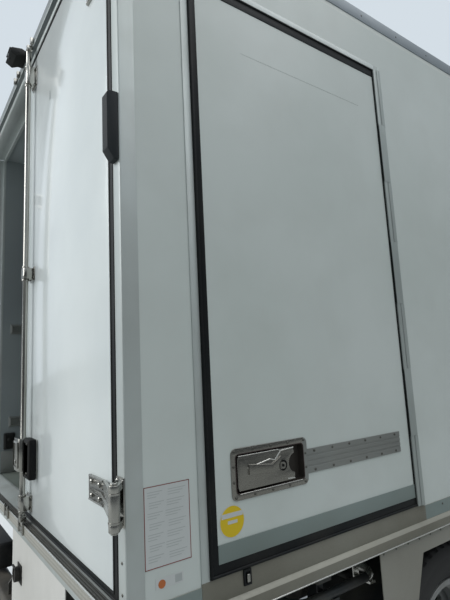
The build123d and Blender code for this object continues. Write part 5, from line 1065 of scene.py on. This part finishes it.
def header_trim():
    """A lighter strip along the header, and the gutter's drip edge."""
    strip = slab(-2.4, -0.2, -1124, 1124, 3087, 3108, 1)
    complete(strip, "header_strip", "truck", "anodised_post")
    # the drip edge stops short of the two lock rods' cams
    gap = 35
    drips = []
    for y0, y1 in ((-1123, ROD - gap), (ROD + gap, -ROD - gap), (gap - ROD, 1123)):
        drips.append(slab(-19.2, -16.8, y0, y1, 3110.5, 3116, 1))
    complete(join(drips), "gutter_drip", "truck", "anodised_post")


def sill_trim():
    """A nosing under the sill's ribs in bright metal as a painted highlight, a bead at its foot and two
    dark bolts.
    """
    nosing = bar((-29.4, -1124, 986.6), (-29.4, 1124, 986.6), 3.6, 12)
    complete(nosing, "sill_nosing", "truck", "bright_edge", 60)
    foot = bar((-21.5, -1124, 942.6), (-21.5, 1124, 942.6), 2, 12)
    complete(foot, "sill_foot_bead", "truck", "anodised_post", 60)
    places = [spot(-30, y, 966) for y in (-1020, 1020)]
    heads = studded(fastener(6.2, 4, 14, 0.4), places, (-1, 0, 0))
    complete(heads, "sill_bolts", "truck", "dark_bolt")


def post_fixings(screw):
    """Screws down both posts, clear of hinges and buffers, and bolts in the hinge plates."""
    places = [spot(0, y, z) for y in (-1102, 1102) for z in (1029, 1103, 2985, 3060)]
    heads = studded(fastener(screw * 0.9, 2.2, 12, 0.4), places, (-1, 0, 0))
    complete(heads, "post_screws", "truck", "dull_zinc")
    heights = [height + rise for height in HINGE_HEIGHTS for rise in (-50, 0, 50)]
    places = [spot(-4, y, z) for y in (-1089, 1089) for z in heights]
    heads = studded(fastener(6.2, 4.8, 14), places, (-1, 0, 0))
    complete(heads, "post_plate_bolts", "truck", "brushed_stainless")
    pins = []
    for side in (-PIN_SIDE, PIN_SIDE):
        for height in HINGE_HEIGHTS:
            for rise, tip in ((54, 59.5), (-54, -59.5)):
                ends = [(PIN_AHEAD, side, height + level) for level in (rise, tip)]
                pins.append(bar(*ends, 9.5, 20, 2, 3))
    complete(join(pins), "hinge_pin_caps", "truck", "brushed_stainless")


def buffer_fixings():
    """A washered bolt above and below on the inner side of each buffer."""
    parts = []
    for z in (2196, 2340):
        parts.append(bar((-17, 1084.5, z), (-17, 1081.5, z), 8, 20, 0.6))
        parts.append(bar((-17, 1081.5, z), (-17, 1078, z), 5, 6, 0.8))
    complete(paired(parts), "buffer_fixings", "truck", "dark_bolt")


def camera_details():
    """The camera's squat housing, its window, and its hood with two knobs."""
    camera = softened("reversing_camera", "camera_housing", 3, "grained_plastic", 3)
    top, share = 3.1705, 0.70
    for vertex in camera.data.vertices:
        vertex.co.z = top - (top - vertex.co.z) * share
    glass = bar((-86, 0, 3146), (-94.4, 0, 3144.5), 13, 32, 2, 3)
    complete(glass, "camera_window", "truck", "camera_glass")
    parts = [slab(-96.6, -62, -44, 44, 3163, 3166, 1.5)]
    for y in (-56.5, 56.5):
        parts.append(bar((-55, y * 0.96, 3147), (-55, y, 3147), 6.5, 20, 1.2))
    complete(join(parts), "camera_hood", "truck", "grained_plastic")


def trailer_socket():
    """A bracket and the trailer socket on the rear plate."""
    socket = recess(bar((0, 14, 744), (-26, 14, 744), 30, 32), (-1, 0, 0), 6, 5)
    bevel(socket, 2, 3)
    plate = slab(-3.5, -0.1, -24, 52, 706, 782, 1.5)
    hinge = bar((-24, -14, 775), (-24, 42, 775), 4.5, 12)
    whole = join([socket, plate, hinge])
    complete(whole, "trailer_socket", "truck", "grained_plastic")


class TRUCK_OT_rear_frame(bpy.types.Operator):
    """The doorway's posts, header, sill, hinge plates, buffers and camera"""

    bl_idname = "truck.rear_frame"
    bl_label = "Rear frame"

    def execute(self, context):
        doorway_frame()
        softened("rear_hinge_posts", "hinge_plates", 1.2, "brushed_stainless")
        softened("rubber_buffers", "corner_buffers", 3, "rubber_block", 3)
        header_trim()
        sill_trim()
        post_fixings(1000 * context.scene.truck_sizes.screw)
        buffer_fixings()
        camera_details()
        trailer_socket()
        return {"FINISHED"}


def edge_rails():
    """The rails along the box's edges, each part of them in its own finish."""
    rails = softened("box_rails", "edge_rails", 1.2, "weathered_rail")
    split_at(rails, spot(0, 0, LEDGE), (0, 0, 1))
    second_finish(rails, "roof_trim", within(up=(LEDGE, FAR)))
    ledge = both(within(up=(-FAR, LEDGE)), facing((0, 0, 1), 0.25))
    second_finish(rails, "worn_ledge", ledge)
    band = both(within(up=(939, 993)), lambda centre, normal: abs(normal.y) > 0.7)
    second_finish(rails, "painted_band", band)
    # a bright lip along the foot rail's lower edge, a painted highlight
    lip = bar((52, POST_FACE, 894.5), (4498, POST_FACE, 894.5), 2.4, 12)
    complete(paired([lip]), "rail_lips", "truck", "bright_edge", 60)


def doorway_profile():
    """The side doorway's profile, with the fixed half of the door's hinge."""
    knuckles, panel = 1230, 1258.5
    profile = softened("side_door_frame", "doorway_profile", 1, "anodised_post")
    split_at(profile, spot(0, 0, LEDGE), (0, 0, 1))
    split_at(profile, spot(knuckles, 0, 0), (1, 0, 0))
    split_at(profile, spot(panel, 0, 0), (1, 0, 0))
    flatten(profile, knuckles, 1259, -1134)
    flatten(profile, 1259.5, 1300, -1127)
    above, outside = (LEDGE, FAR), (-FAR, 4 - SIDE)
    hinge = within(ahead=(knuckles, panel + 0.1), left=outside, up=above)
    second_finish(profile, "anodised_hinge", hinge)
    second_finish(profile, "gelcoat_side", within(ahead=(panel + 0.1, FAR), up=above))
    second_finish(profile, "weathered_rail", within(left=outside, up=(-FAR, LEDGE)))


def rail_fixings(screw):
    """Screws that hold the rails and the corner angles, and rivets along the skirt plates."""
    foot = range(95, 4480, 260)
    doorway = [x for x in foot if 190 < x < 1290]
    right = [spot(x, -SIDE, 976) for x in foot if x not in doorway]
    right += [spot(x, -SIDE, 3129) for x in range(140, 4480, 260)]
    right += [spot(4475, -SIDE, z) for z in range(1100, 3060, 240)]
    more_left = [spot(x, SIDE, 976) for x in doorway]
    heads = studded_sides(fastener(screw * 0.9, 2, 12, 0.4), right, more_left)
    complete(heads, "rail_screws", "truck", "dull_zinc")
    right = [spot(x, -SKIN, 880) for x in range(990, 2040, 75)]
    heads = studded_sides(fastener(4.2, 2.2), right)
    complete(heads, "skirt_rivets", "truck", "dull_zinc")


def side_markers():
    """Amber markers on the foot rail, in black frames."""
    middles = (1700, 2900, 4100)
    face = POST_FACE + 0.5
    frames = [slab(x - 60, x + 60, face, face + 3, 896, 924, 1.2) for x in middles]
    complete(paired(frames), "marker_frames", "truck", "grained_plastic")
    lenses = [slab(x - 52, x + 52, face + 2.5, face + 6.5, 900, 920, 1.8) for x in middles]
    complete(paired(lenses), "marker_lenses", "truck", "lens_amber")


def inside_fittings():
    """Inside the box: load and kick rails on both walls, two lamps and a switch box."""
    rails = [slab(100, 4410, 1060.5, 1064.7, 987, 1120, 1)]
    for z in (1300, 1900):
        rail = slab(140, 4380, 1058, 1064.6, z - 32, z + 32, 1.2)
        rails.append(recess(rail, (0, -1, 0), 12, 3))
    complete(paired(rails), "load_rails", "truck", "mill_strip")
    lamps = []
    for x in (900, 2600):
        lamp = slab(x - 160, x + 160, -60, 60, 3062, 3080.6, 6, 3)
        lamps.append(recess(lamp, (0, 0, -1), 10, 3))
    complete(join(lamps), "ceiling_lamps", "truck", "lens_clear")
    box = recess(slab(112, 178, 1048, 1064.6, 1130, 1230, 4, 3), (0, -1, 0), 10, 2)
    knob = bar((145, 1049, 1190), (145, 1038, 1190), 12, 24, 2, 3)
    complete(join([box, knob]), "inner_switch", "truck", "grained_plastic")


class TRUCK_OT_box(bpy.types.Operator):
    """The load box: rails, side plates' screws, markers, inner rails and lamps"""

    bl_idname = "truck.box"
    bl_label = "Load box"

    def execute(self, context):
        edge_rails()
        doorway_profile()
        rail_fixings(1000 * context.scene.truck_sizes.screw)
        side_markers()
        inside_fittings()
        return {"FINISHED"}


TYRE_STEPS = 96


def tyre(axle, middle):
    """One tyre: its half-section spun round the axle, with slots in its shoulders."""
    crown = 383.3
    section = [(-76, 222.6), (-76, 240), (-84, 246), (-93, 256), (-101, 272), (-105, 296)]
    section += [(-104, 320), (-101, 326), (-102.5, 334), (-101.5, 346), (-97, 361), (-92, 372)]
    section += [(-84, 379.5), (-77.5, crown - 1)]
    wall = section[::-1]
    for left, right in ((-49, -41), (-17, -9), (9, 17), (41, 49)):
        section += [(left, crown), (left + 1.5, crown - 11), (right - 1.5, crown - 11)]
        section += [(right, crown)]
    section += [(-y, radius) for y, radius in wall]
    mesh = bpy.data.meshes.new("section")
    points = [spot(axle, middle + y, AXLE_HEIGHT + radius) for y, radius in section]
    links = [(i, (i + 1) % len(points)) for i in range(len(points))]
    mesh.from_pydata(points, links, [])
    ring = bpy.data.objects.new("section", mesh)
    bpy.context.collection.objects.link(ring)
    hub = spot(axle, middle, AXLE_HEIGHT)
    open_all(ring)
    bpy.ops.mesh.spin(steps=TYRE_STEPS, angle=math.tau, center=hub, axis=(0, 1, 0))
    leave_edit()
    face_outwards(ring)

    inner, outer, crest = 0.050, 0.100, 0.3695

    def lug(centre, normal):
        """Every other block of the shoulders, which is pressed in to part the tread."""
        away = centre - hub
        step = int((math.atan2(away.z, away.x) / math.tau + 1) * TYRE_STEPS)
        proud = math.hypot(away.x, away.z) > crest
        return inner < abs(away.y) < outer and proud and step % 2 == 0

    pick(ring, lug)
    bpy.ops.mesh.inset(thickness=0.0022, use_individual=False)
    bpy.ops.transform.resize(value=(0.983, 1, 0.983), center_override=hub)
    leave_edit()
    return ring


def tyres():
    """The tread and walls of all six tyres."""
    front = tyre(FRONT_AXLE, 850)
    shift = Vector((REAR_AXLE - FRONT_AXLE, 99.5, 0)) / 1000
    outer = copy_of(front, Matrix.Translation(shift))
    inner = copy_of(outer, Matrix.Translation((0, -0.240, 0)))
    for piece, node, body in (
        (front, "front_tyre", "front_wheel"),
        (join([outer, inner]), "rear_tyres", "rear_wheels"),
    ):
        for shape, side in ((piece, "left"), (across(piece), "right")):
            name, rides_on = f"{node}_{side}_tread", f"{body}_{side}"
            shape = complete(shape, name, rides_on, "tyre_rubber", 40)
            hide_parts(f"{node}_{side}")


def around(axle, left, radius):
    """Eight places round an axle."""
    turns = [math.tau * (step + 0.5) / 8 for step in range(8)]
    cast = [(radius * math.cos(turn), radius * math.sin(turn)) for turn in turns]
    return [spot(axle + ahead, left, AXLE_HEIGHT + up) for ahead, up in cast]


def wheel_nuts():
    """Nuts on each hub, a ring of bolts on the hub cap and a valve."""
    for name, axle, face, cap, body in (
        ("front", FRONT_AXLE, 970, 1016, "front_wheel"),
        ("rear", REAR_AXLE, 841.5, 985.5, "rear_wheels"),
    ):
        foot, shoulder, tip, rim = [Vector((0, 0, z)) for z in (0, 0.018, 0.027, 0.004)]
        nut = bevel(drum(foot, shoulder, 15.5, 6), 2)
        pattern = join([nut, drum(shoulder, tip, 7.5, 12), drum(foot, rim, 18.5, 18)])
        nuts = studded(pattern, around(axle, face, 92), (0, 1, 0))
        bolts = studded(fastener(5.5, 5, 6), around(axle, cap, 37), (0, 1, 0))
        start, end = (axle, face - 6, AXLE_HEIGHT + 150), (axle, face + 30, AXLE_HEIGHT + 172)
        whole = join([nuts, bolts, bar(start, end, 5, 12)])
        twin = across(whole)
        complete(twin, f"{name}_nuts_right", f"{body}_right", "dull_zinc")
        complete(whole, f"{name}_nuts_left", f"{body}_left", "dull_zinc")


def mudflaps():
    """Ribbed rubber flaps behind the rear wheels, on the guards' ends."""
    flap = slab(1083, 1089, 640, 1050, 262, 548, 1.5)
    ribs = [slab(1079, 1084, y, y + 6, 275, 500) for y in range(662, 1040, 26)]
    bracket = bar((1080, 620, 541), (1080, 1062, 541), 7, 16, 2)
    flaps = paired([flap, *ribs, bracket])
    complete(flaps, "mudflaps", "truck", "rubber_block")


def rear_lamps():
    """Black housings with red, amber and clear lenses in their bezels."""
    housings = softened("lamps", "lamp_housings", 1.5, "grained_plastic")
    headlamps = both(within(ahead=(6000, FAR)), facing((1, 0, 0), 0.2))
    second_finish(housings, "lens_clear", headlamps)
    for finish, spans in (
        ("lens_red", ((655, 745), (905, 1045))),
        ("lens_amber", ((755, 835),)),
        ("lens_clear", ((845, 895),)),
    ):
        lenses = [slab(24, 30.5, y0, y1, 574, 676, 4, 3) for y0, y1 in spans]
        complete(paired(lenses), f"rear_{finish}", "truck", finish)
    bezels = []
    for y0, y1 in ((651, 749), (751, 839), (841, 899), (901, 1049)):
        bezels.append(recess(slab(26, 30.3, y0, y1, 569, 681), (-1, 0, 0), 3, 2))
    complete(paired(bezels), "lamp_bezels", "truck", "grained_plastic")


def tank_fittings():
    """The fuel cap with its grip, and the latches of the battery box."""
    cap = bar((3740, -1038, 808), (3740, -1052, 820), 52, 32, 4, 3)
    grip = slab(3706, 3774, -1060, -1044, 808, 824, 4, 3)
    complete(join([cap, grip]), "fuel_cap", "truck", "grained_plastic")
    latches = []
    for x in (3120, 3500):
        latches.append(slab(x - 12, x + 12, 1029, 1040, 700, 770, 3, 3))
        latches.append(slab(x - 8, x + 8, 1036, 1045, 715, 730, 2))
    complete(join(latches), "battery_latches", "truck", "dull_zinc")


class TRUCK_OT_running_gear(bpy.types.Operator):
    """Tyres with tread, wheel nuts, mudflaps, lamps, tank fittings and frame bolts"""

    bl_idname = "truck.running_gear"
    bl_label = "Running gear"

    def execute(self, context):
        tyres()
        wheel_nuts()
        mudflaps()
        rear_lamps()
        tank_fittings()
        # bolt heads along the outside of both chassis rails
        places = [spot(x, -350, z) for x in range(160, 5900, 160) for z in (650, 750)]
        bolts = studded_sides(fastener(10, 8, 6), places)
        complete(bolts, "frame_bolts", "truck", "chassis_paint")
        return {"FINISHED"}


def pane_rubbers():
    """Rubber beads round the windscreen and the doors' windows."""
    front = both(within(ahead=(5047, FAR)), facing((1, 0, 0), 0.3))
    bead = rim_bead("windscreen", front, 9)
    complete(bead, "windscreen_rubber", "cab", "rubber_seal", 60)
    for side, outwards in (("right", -1), ("left", 1)):
        bead = rim_bead(f"cab_window_{side}", facing((0, outwards, 0), 0.3), 7)
        name, body = f"window_rubber_{side}", f"cab_door_{side}"
        complete(bead, name, body, "rubber_seal", 60)


def door_trim():
    """On each cab door: a pull handle in its black cup, the lock and the rubbing strip."""
    cup = recess(slab(5105, 5235, -1004, -999.5, 1375, 1425, 1.5), (0, -1, 0), 6, 3)
    pull = slab(5112, 5228, -1013, -1003, 1400, 1416, 4, 3)
    lock = bar((5215, -999, 1350), (5215, -1004, 1350), 10, 24, 1)
    strip = slab(5096, 5969, -1005, -999.5, 1180, 1220, 2)
    right = join([cup, pull, lock, strip])
    for piece, side in ((across(right), "left"), (right, "right")):
        body = f"cab_door_{side}"
        complete(piece, f"door_trim_{side}", body, "grained_plastic")


def wipers():
    """Two arms swept to one side, each with its blade, just off the glass."""
    glass = frame["nodes"]["windscreen"].data
    front_faces = [face for face in glass.polygons if face.normal.x > 0.3]
    pane = max(front_faces, key=lambda face: face.area)
    low = min(vertex.co.z for vertex in glass.vertices)

    def on_glass(left, rise, off):
        """A place just off the windscreen, by its height over the lower edge."""
        place = Vector((pane.center.x, left / 1000, low + rise / 1000))
        place.x -= pane.normal.dot(place - pane.center) / pane.normal.x
        return place + pane.normal * off / 1000

    parts = []
    reach = Vector((0, 0.09, 0.01))
    for left in (-560, 80):
        foot = on_glass(left, -12, 12)
        middle = on_glass(left + 270, 85, 22)
        parts.append(bevel(drum(foot, middle, 6.5, 12, 4.5), 1, 1))
        parts.append(drum(on_glass(left - 5, 55, 10), on_glass(left + 545, 115, 10), 6, 10))
        parts.append(drum(middle - reach, middle + reach, 4, 10))
        parts.append(ball(foot, (20, 22, 16), 16, 10))
    complete(join(parts), "wipers", "cab", "grained_plastic", 50)


def mirror_panes():
    """Glass set in the rear of each mirror's head, the small wide one below."""
    panes = [slab(6018.2, 6021, -1255, -1095, *span, 1.2) for span in ((1688, 1940), (1580, 1668))]
    complete(paired(panes), "mirror_glass", "cab", "mirror_glass")
    divider = slab(6017.4, 6021, -1262, -1088, 1671, 1685, 1.2)
    complete(paired([divider]), "mirror_divider", "cab", "grained_plastic")


def cab_markers():
    """Amber markers on the roof and repeaters on the sides."""
    lenses = [ball(spot(5730, y, 2269), (45, 28, 16)) for y in (-560, -300, 300, 560)]
    repeater = ball(spot(6003, -984, 1150), (45, 12, 22))
    lenses += [repeater, across(repeater)]
    complete(join(lenses), "cab_markers", "cab", "lens_amber", 60)


def step_grips():
    """Raised bars across the cab's steps."""
    bars = []
    for foot in (480, 700):
        for x in range(5655, 5890, 18):
            bars.append(slab(x, x + 7, 835, 968, foot - 1, foot + 2.5))
    complete(paired(bars), "step_grips", "truck", "dull_zinc")


def headlamp_bowls():
    """Two clear bowls in each headlamp, proud of its black form."""
    bowls = []
    for rear, y, radius in ((6132, 690, 52), (6108, 800, 46)):
        bowl = bar((rear, y, 720), (rear + 14, y, 720), radius, 32)
        bowls.append(bevel(recess(bowl, (1, 0, 0), 5, 4), 1.5))
    complete(paired(bowls), "headlamp_bowls", "truck", "lens_clear")


class TRUCK_OT_cab(bpy.types.Operator):
    """The cab's rubbers, handles, wipers, mirrors' glass, headlamps and steps"""

    bl_idname = "truck.cab"
    bl_label = "Cab"

    def execute(self, context):
        pane_rubbers()
        door_trim()
        wipers()
        mirror_panes()
        cab_markers()
        step_grips()
        headlamp_bowls()
        return {"FINISHED"}


def unit_fittings():
    """Screws along the cooling unit's top, and latches on its sides."""
    places = [spot(4802, y, 3128) for y in (-560, -280, 0, 280, 560)]
    heads = studded(fastener(7, 4, 14, 0.4), places, (0, 0, 1))
    complete(heads, "unit_top_screws", "truck", "dull_zinc")
    latches = []
    for z in (2700, 3020):
        latches.append(slab(4560, 4585, 749, 757, z - 32, z + 32, 3, 3))
        latches.append(bar((4572, 756, z), (4572, 763, z), 9, 20, 2, 3))
    complete(paired(latches), "unit_latches", "truck", "grained_plastic")


def condenser_fans():
    """Two fans of five pitched blades in front of the condenser."""
    fans = []
    for y in (-262, 262):
        fans.append(bar((4832, y, 2880), (4846, y, 2880), 34, 24, 4, 3))
        pitch = turned(24, "Y", spot(4838, y + 69, 2880))
        for blade in range(5):
            vane = slab(4836, 4840, y + 26, y + 112, 2858, 2902)
            vane.data.transform(turned(72 * blade, "X", spot(0, y, 2880)) @ pitch)
            fans.append(bevel(vane, 1, 1))
    complete(join(fans), "condenser_fans", "truck", "louvre_plastic")


def evaporator_guards():
    """Wire rings and spokes before the evaporator's two fans."""
    guards = []
    for y in (-260, 260):
        for radius in (40, 54, 68):
            deselect()
            bpy.ops.mesh.primitive_torus_add(
                major_segments=40,
                minor_segments=8,
                major_radius=radius / 1000,
                minor_radius=0.0018,
                location=spot(4090, y, 2983),
                rotation=(0, math.radians(90), 0),
            )
            guards.append(settle(bpy.context.object))
        for step in range(4):
            angle = math.tau * step / 8
            left, up = 78 * math.cos(angle), 78 * math.sin(angle)
            guards.append(bar((4089, y - left, 2983 - up), (4089, y + left, 2983 + up), 1.8, 8))
    complete(join(guards), "evaporator_guards", "truck", "dull_zinc", 60)


class TRUCK_OT_cooling_unit(bpy.types.Operator):
    """The cooling unit's soft housing, screws, latches, fans and guards"""

    bl_idname = "truck.cooling_unit"
    bl_label = "Cooling unit"

    def execute(self, context):
        softened("refrigeration_unit", "unit_housing", 6, "unit_plastic", 3)
        unit_fittings()
        condenser_fans()
        evaporator_guards()
        return {"FINISHED"}


def swollen(piece, limit):
    """Blow a piece up as cloth, no vertex by more than the limit."""
    start = [vertex.co.copy() for vertex in piece.data.vertices]
    settings = piece.modifiers.new("cloth", "CLOTH").settings
    settings.quality = 5
    settings.mass = 0.3
    settings.use_pressure = True
    settings.uniform_pressure_force = 4
    settings.effector_weights.gravity = 0
    settings.tension_stiffness = 12
    settings.compression_stiffness = 12
    for number in range(1, 21):
        bpy.context.scene.frame_set(number)
    take(piece)
    bpy.ops.object.modifier_apply(modifier="cloth")
    bpy.context.scene.frame_set(1)
    for vertex, place in zip(piece.data.vertices, start):
        shift = vertex.co - place
        if shift.length > limit:
            vertex.co = place + shift.normalized() * limit


def seat_pad(low, high):
    """A padded form between two places, blown up from a block."""
    sides = [side for span in zip(low, high) for side in span]
    pad = reshape(slab(*sides, 28, 4), "REMESH", mode="VOXEL", voxel_size=0.012)
    swollen(pad, 0.012)
    return reshape(pad, "SUBSURF", levels=1, render_levels=1)


def piping(pad, starts, direction):
    """Short bars end to end on a pad, where rays from the starts meet it."""
    cloth = bpy.data.objects[pad]
    graph = bpy.context.evaluated_depsgraph_get()
    spots = [cloth.ray_cast(start, direction, depsgraph=graph)[1] for start in starts]
    return [drum(one, two, 2.5, 10) for one, two in zip(spots, spots[1:])]


class TRUCK_OT_seats(bpy.types.Operator):
    """Two cloth seats: a cushion, a leaning back and a headrest each"""

    bl_idname = "truck.seats"
    bl_label = "Seats"

    def execute(self, context):
        for part, low, high, lean in (
            ("cushion", (4912, 348, 1242), (5408, 812, 1356), 0),
            ("back", (4900, 348, 1380), (4992, 812, 1790), 10),
            ("headrest", (4908, 460, 1800), (4978, 700, 1982), 10),
        ):
            pad = seat_pad(low, high)
            if lean:
                pad.data.transform(turned(-lean, "Y", spot(4900, 0, 1372)))
            for piece, side in ((pad, "left"), (across(pad), "right")):
                complete(piece, f"seat_{part}_{side}", "cab", "woven_cloth", 60)
                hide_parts("seats")
        # piping sewn along the cushion and down the back, lying on the blown-up cloth
        seams = []
        for y in (450, 580, 710):
            above = [spot(x, y, 1500) for x in range(4960, 5380, 41)]
            seams += piping("seat_cushion_left", above, (0, 0, -1))
            ahead = [spot(5300, y, z) for z in range(1430, 1750, 39)]
            seams += piping("seat_back_left", ahead, (-1, 0, 0))
        complete(paired(seams), "seat_seams", "cab", "rubber_seal", 60)
        posts = [bar((4874, y, 1760), (4862, y, 1830), 6, 12) for y in (530, 630)]
        complete(paired(posts), "headrest_posts", "cab", "dull_zinc", 60)
        return {"FINISHED"}


def studio_floor(light):
    """A plain floor lights the truck, and the camera sees a paler one."""
    deselect()
    bpy.ops.mesh.primitive_plane_add(size=90, location=(0, 0, 0))
    floor = bpy.context.object
    floor.name = "floor"
    made = bpy.data.materials.new("studio_floor")
    tree = clear_tree(made)
    plain = add_node(tree, "BsdfDiffuse", {"Color": (*linear("#b9bcbb"), 1)})
    pale = add_node(tree, "BsdfDiffuse", {"Color": (*linear("#dcdfdf"), 1)})
    glow = add_node(tree, "Emission", {"Color": (*light.backdrop, 1), "Strength": 0.26})
    seen = add_node(tree, "AddShader", {}, {0: pale, 1: glow})
    camera_ray = add_node(tree, "LightPath").outputs["Is Camera Ray"]
    mixed = add_node(tree, "MixShader", {}, {0: camera_ray, 1: plain, 2: seen})
    add_node(tree, "OutputMaterial", {}, {"Surface": mixed})
    floor.data.materials.append(made)


def studio_sky(light, world):
    """A soft sky that lights the truck, and a paler backdrop that is seen and mirrored.

    Camera, metal and glass see that backdrop, with soft pale cloud overhead and a dim
    wall low down on the truck's right.
    """
    tree = clear_tree(world)
    direction = add_node(tree, "TexCoord").outputs["Generated"]
    split = add_node(tree, "SeparateXYZ", {}, {"Vector": direction}).outputs
    path = add_node(tree, "LightPath").outputs
    lift = add_node(tree, "MapRange", dict(zip(LIMITS, (-0.05, 0.7, 0.85, 1.05))), {"Value": split["Z"]})
    power = {"operation": "MULTIPLY", 1: light.sky_strength}
    strength = add_node(tree, "Math", power, {0: lift})
    sky = add_node(tree, "Background", {"Color": (*light.sky, 1)}, {"Strength": strength})
    noise = {"Scale": 1.6, "Detail": 3.0, "Roughness": 0.5}
    cloud = add_node(tree, "TexNoise", noise, {"Vector": direction})
    billow = add_node(tree, "MapRange", dict(zip(LIMITS, (0.35, 0.65, 0.52, 0.95))), {"Value": cloud})
    low = add_node(tree, "MapRange", dict(zip(LIMITS, (0.42, 0.22, 0.0, 0.82))), {"Value": split["Z"]})
    right = add_node(tree, "MapRange", dict(zip(LIMITS, (0.35, 0.05))), {"Value": split["Y"]})
    wall = add_node(tree, "Math", {"operation": "MULTIPLY"}, {0: low, 1: right})
    dim = add_node(tree, "Math", {"operation": "SUBTRACT", 0: 1.0}, {1: wall})
    mirrored = add_node(tree, "Math", {"operation": "MULTIPLY"}, {0: dim, 1: billow})
    ray = path["Is Glossy Ray"]
    shine = add_node(tree, "Mix", {"data_type": "FLOAT", 2: 1.0}, {0: ray, 3: mirrored})
    power = {"operation": "MULTIPLY", 1: light.backdrop_strength}
    level = add_node(tree, "Math", power, {0: shine})
    seen = add_node(tree, "Background", {"Color": (*light.backdrop, 1)}, {"Strength": level})
    either = {"operation": "MAXIMUM"}
    glossy = add_node(tree, "Math", either, {0: ray, 1: path["Is Transmission Ray"]})
    direct = add_node(tree, "Math", either, {0: path["Is Camera Ray"], 1: glossy})
    mixed = add_node(tree, "MixShader", {}, {0: direct, 1: sky, 2: seen})
    add_node(tree, "OutputWorld", {}, {"Surface": mixed})


def placed(name, data, context):
    """A new light or camera of the scene."""
    shown = bpy.data.objects.new(name, data)
    context.collection.objects.link(shown)
    return shown


class TRUCK_OT_stage(bpy.types.Operator):
    """Pale floor, soft studio light and the camera at the photograph's angle"""

    bl_idname = "truck.stage"
    bl_label = "Stage"

    def execute(self, context):
        light = context.scene.truck_light
        studio_floor(light)
        context.scene.world = bpy.data.worlds.new("studio")
        studio_sky(light, context.scene.world)
        for name, place, target, size, power in (
            ("rear_light", (-11.0, 3.0, 6.0), (-3.0, 0.0, 1.8), 7.0, 680),
            ("top_light", (0.0, -4.0, 10.0), (0.0, 0.0, 2.0), 9.0, 420),
        ):
            lamp = bpy.data.lights.new(name, "AREA")
            lamp.size = size
            lamp.energy = power
            shown = placed(name, lamp, context)
            shown.location = place
            aim = Vector(target) - Vector(place)
            shown.rotation_euler = aim.to_track_quat("-Z", "Y").to_euler()
        lens = bpy.data.cameras.new("photo_camera")
        lens.lens = PHOTO_LENS
        lens.sensor_width = 36.0
        lens.clip_start = 0.05
        lens.clip_end = 200
        camera = placed("photo_camera", lens, context)
        right, back = Vector(PHOTO_RIGHT), Vector(PHOTO_BACK)
        turn = Matrix((right, back.cross(right), back)).transposed()
        camera.matrix_world = Matrix.Translation(PHOTO_PLACE) @ turn.to_4x4()
        context.scene.camera = camera
        context.scene.view_settings.view_transform = "Standard"
        return {"FINISHED"}


class TRUCK_PT_panel(bpy.types.Panel):
    bl_label = "Refrigerated truck"
    bl_idname = "TRUCK_PT_panel"
    bl_space_type = "VIEW_3D"
    bl_region_type = "UI"
    bl_category = "Truck"

    def draw(self, context):
        sizes, light = context.scene.truck_sizes, context.scene.truck_light
        for group in (sizes, light):
            for key in group.bl_rna.properties.keys():
                if key not in ("rna_type", "name"):
                    self.layout.prop(group, key)
        for operator in OPERATORS:
            self.layout.operator(operator.bl_idname)


GROUPS = (TruckSizes, TruckLight)
OPERATORS = (
    TRUCK_OT_finishes,
    TRUCK_OT_stage,
    TRUCK_OT_rear_doors,
    TRUCK_OT_rear_frame,
    TRUCK_OT_side_door,
    TRUCK_OT_labels,
    TRUCK_OT_box,
    TRUCK_OT_running_gear,
    TRUCK_OT_cab,
    TRUCK_OT_cooling_unit,
    TRUCK_OT_seats,
)


def register():
    for kind in (*GROUPS, *OPERATORS, TRUCK_PT_panel):
        bpy.utils.register_class(kind)
    bpy.types.Scene.truck_sizes = bpy.props.PointerProperty(type=TruckSizes)
    bpy.types.Scene.truck_light = bpy.props.PointerProperty(type=TruckLight)


def unregister():
    del bpy.types.Scene.truck_light
    del bpy.types.Scene.truck_sizes
    for kind in reversed((*GROUPS, *OPERATORS, TRUCK_PT_panel)):
        bpy.utils.unregister_class(kind)


def main():
    """Register the classes and run every operator."""
    register()
    for operator in OPERATORS:
        group, name = operator.bl_idname.split(".")
        getattr(getattr(bpy.ops, group), name)()
    bpy.context.view_layer.update()


if __name__ == "__main__":
    main()
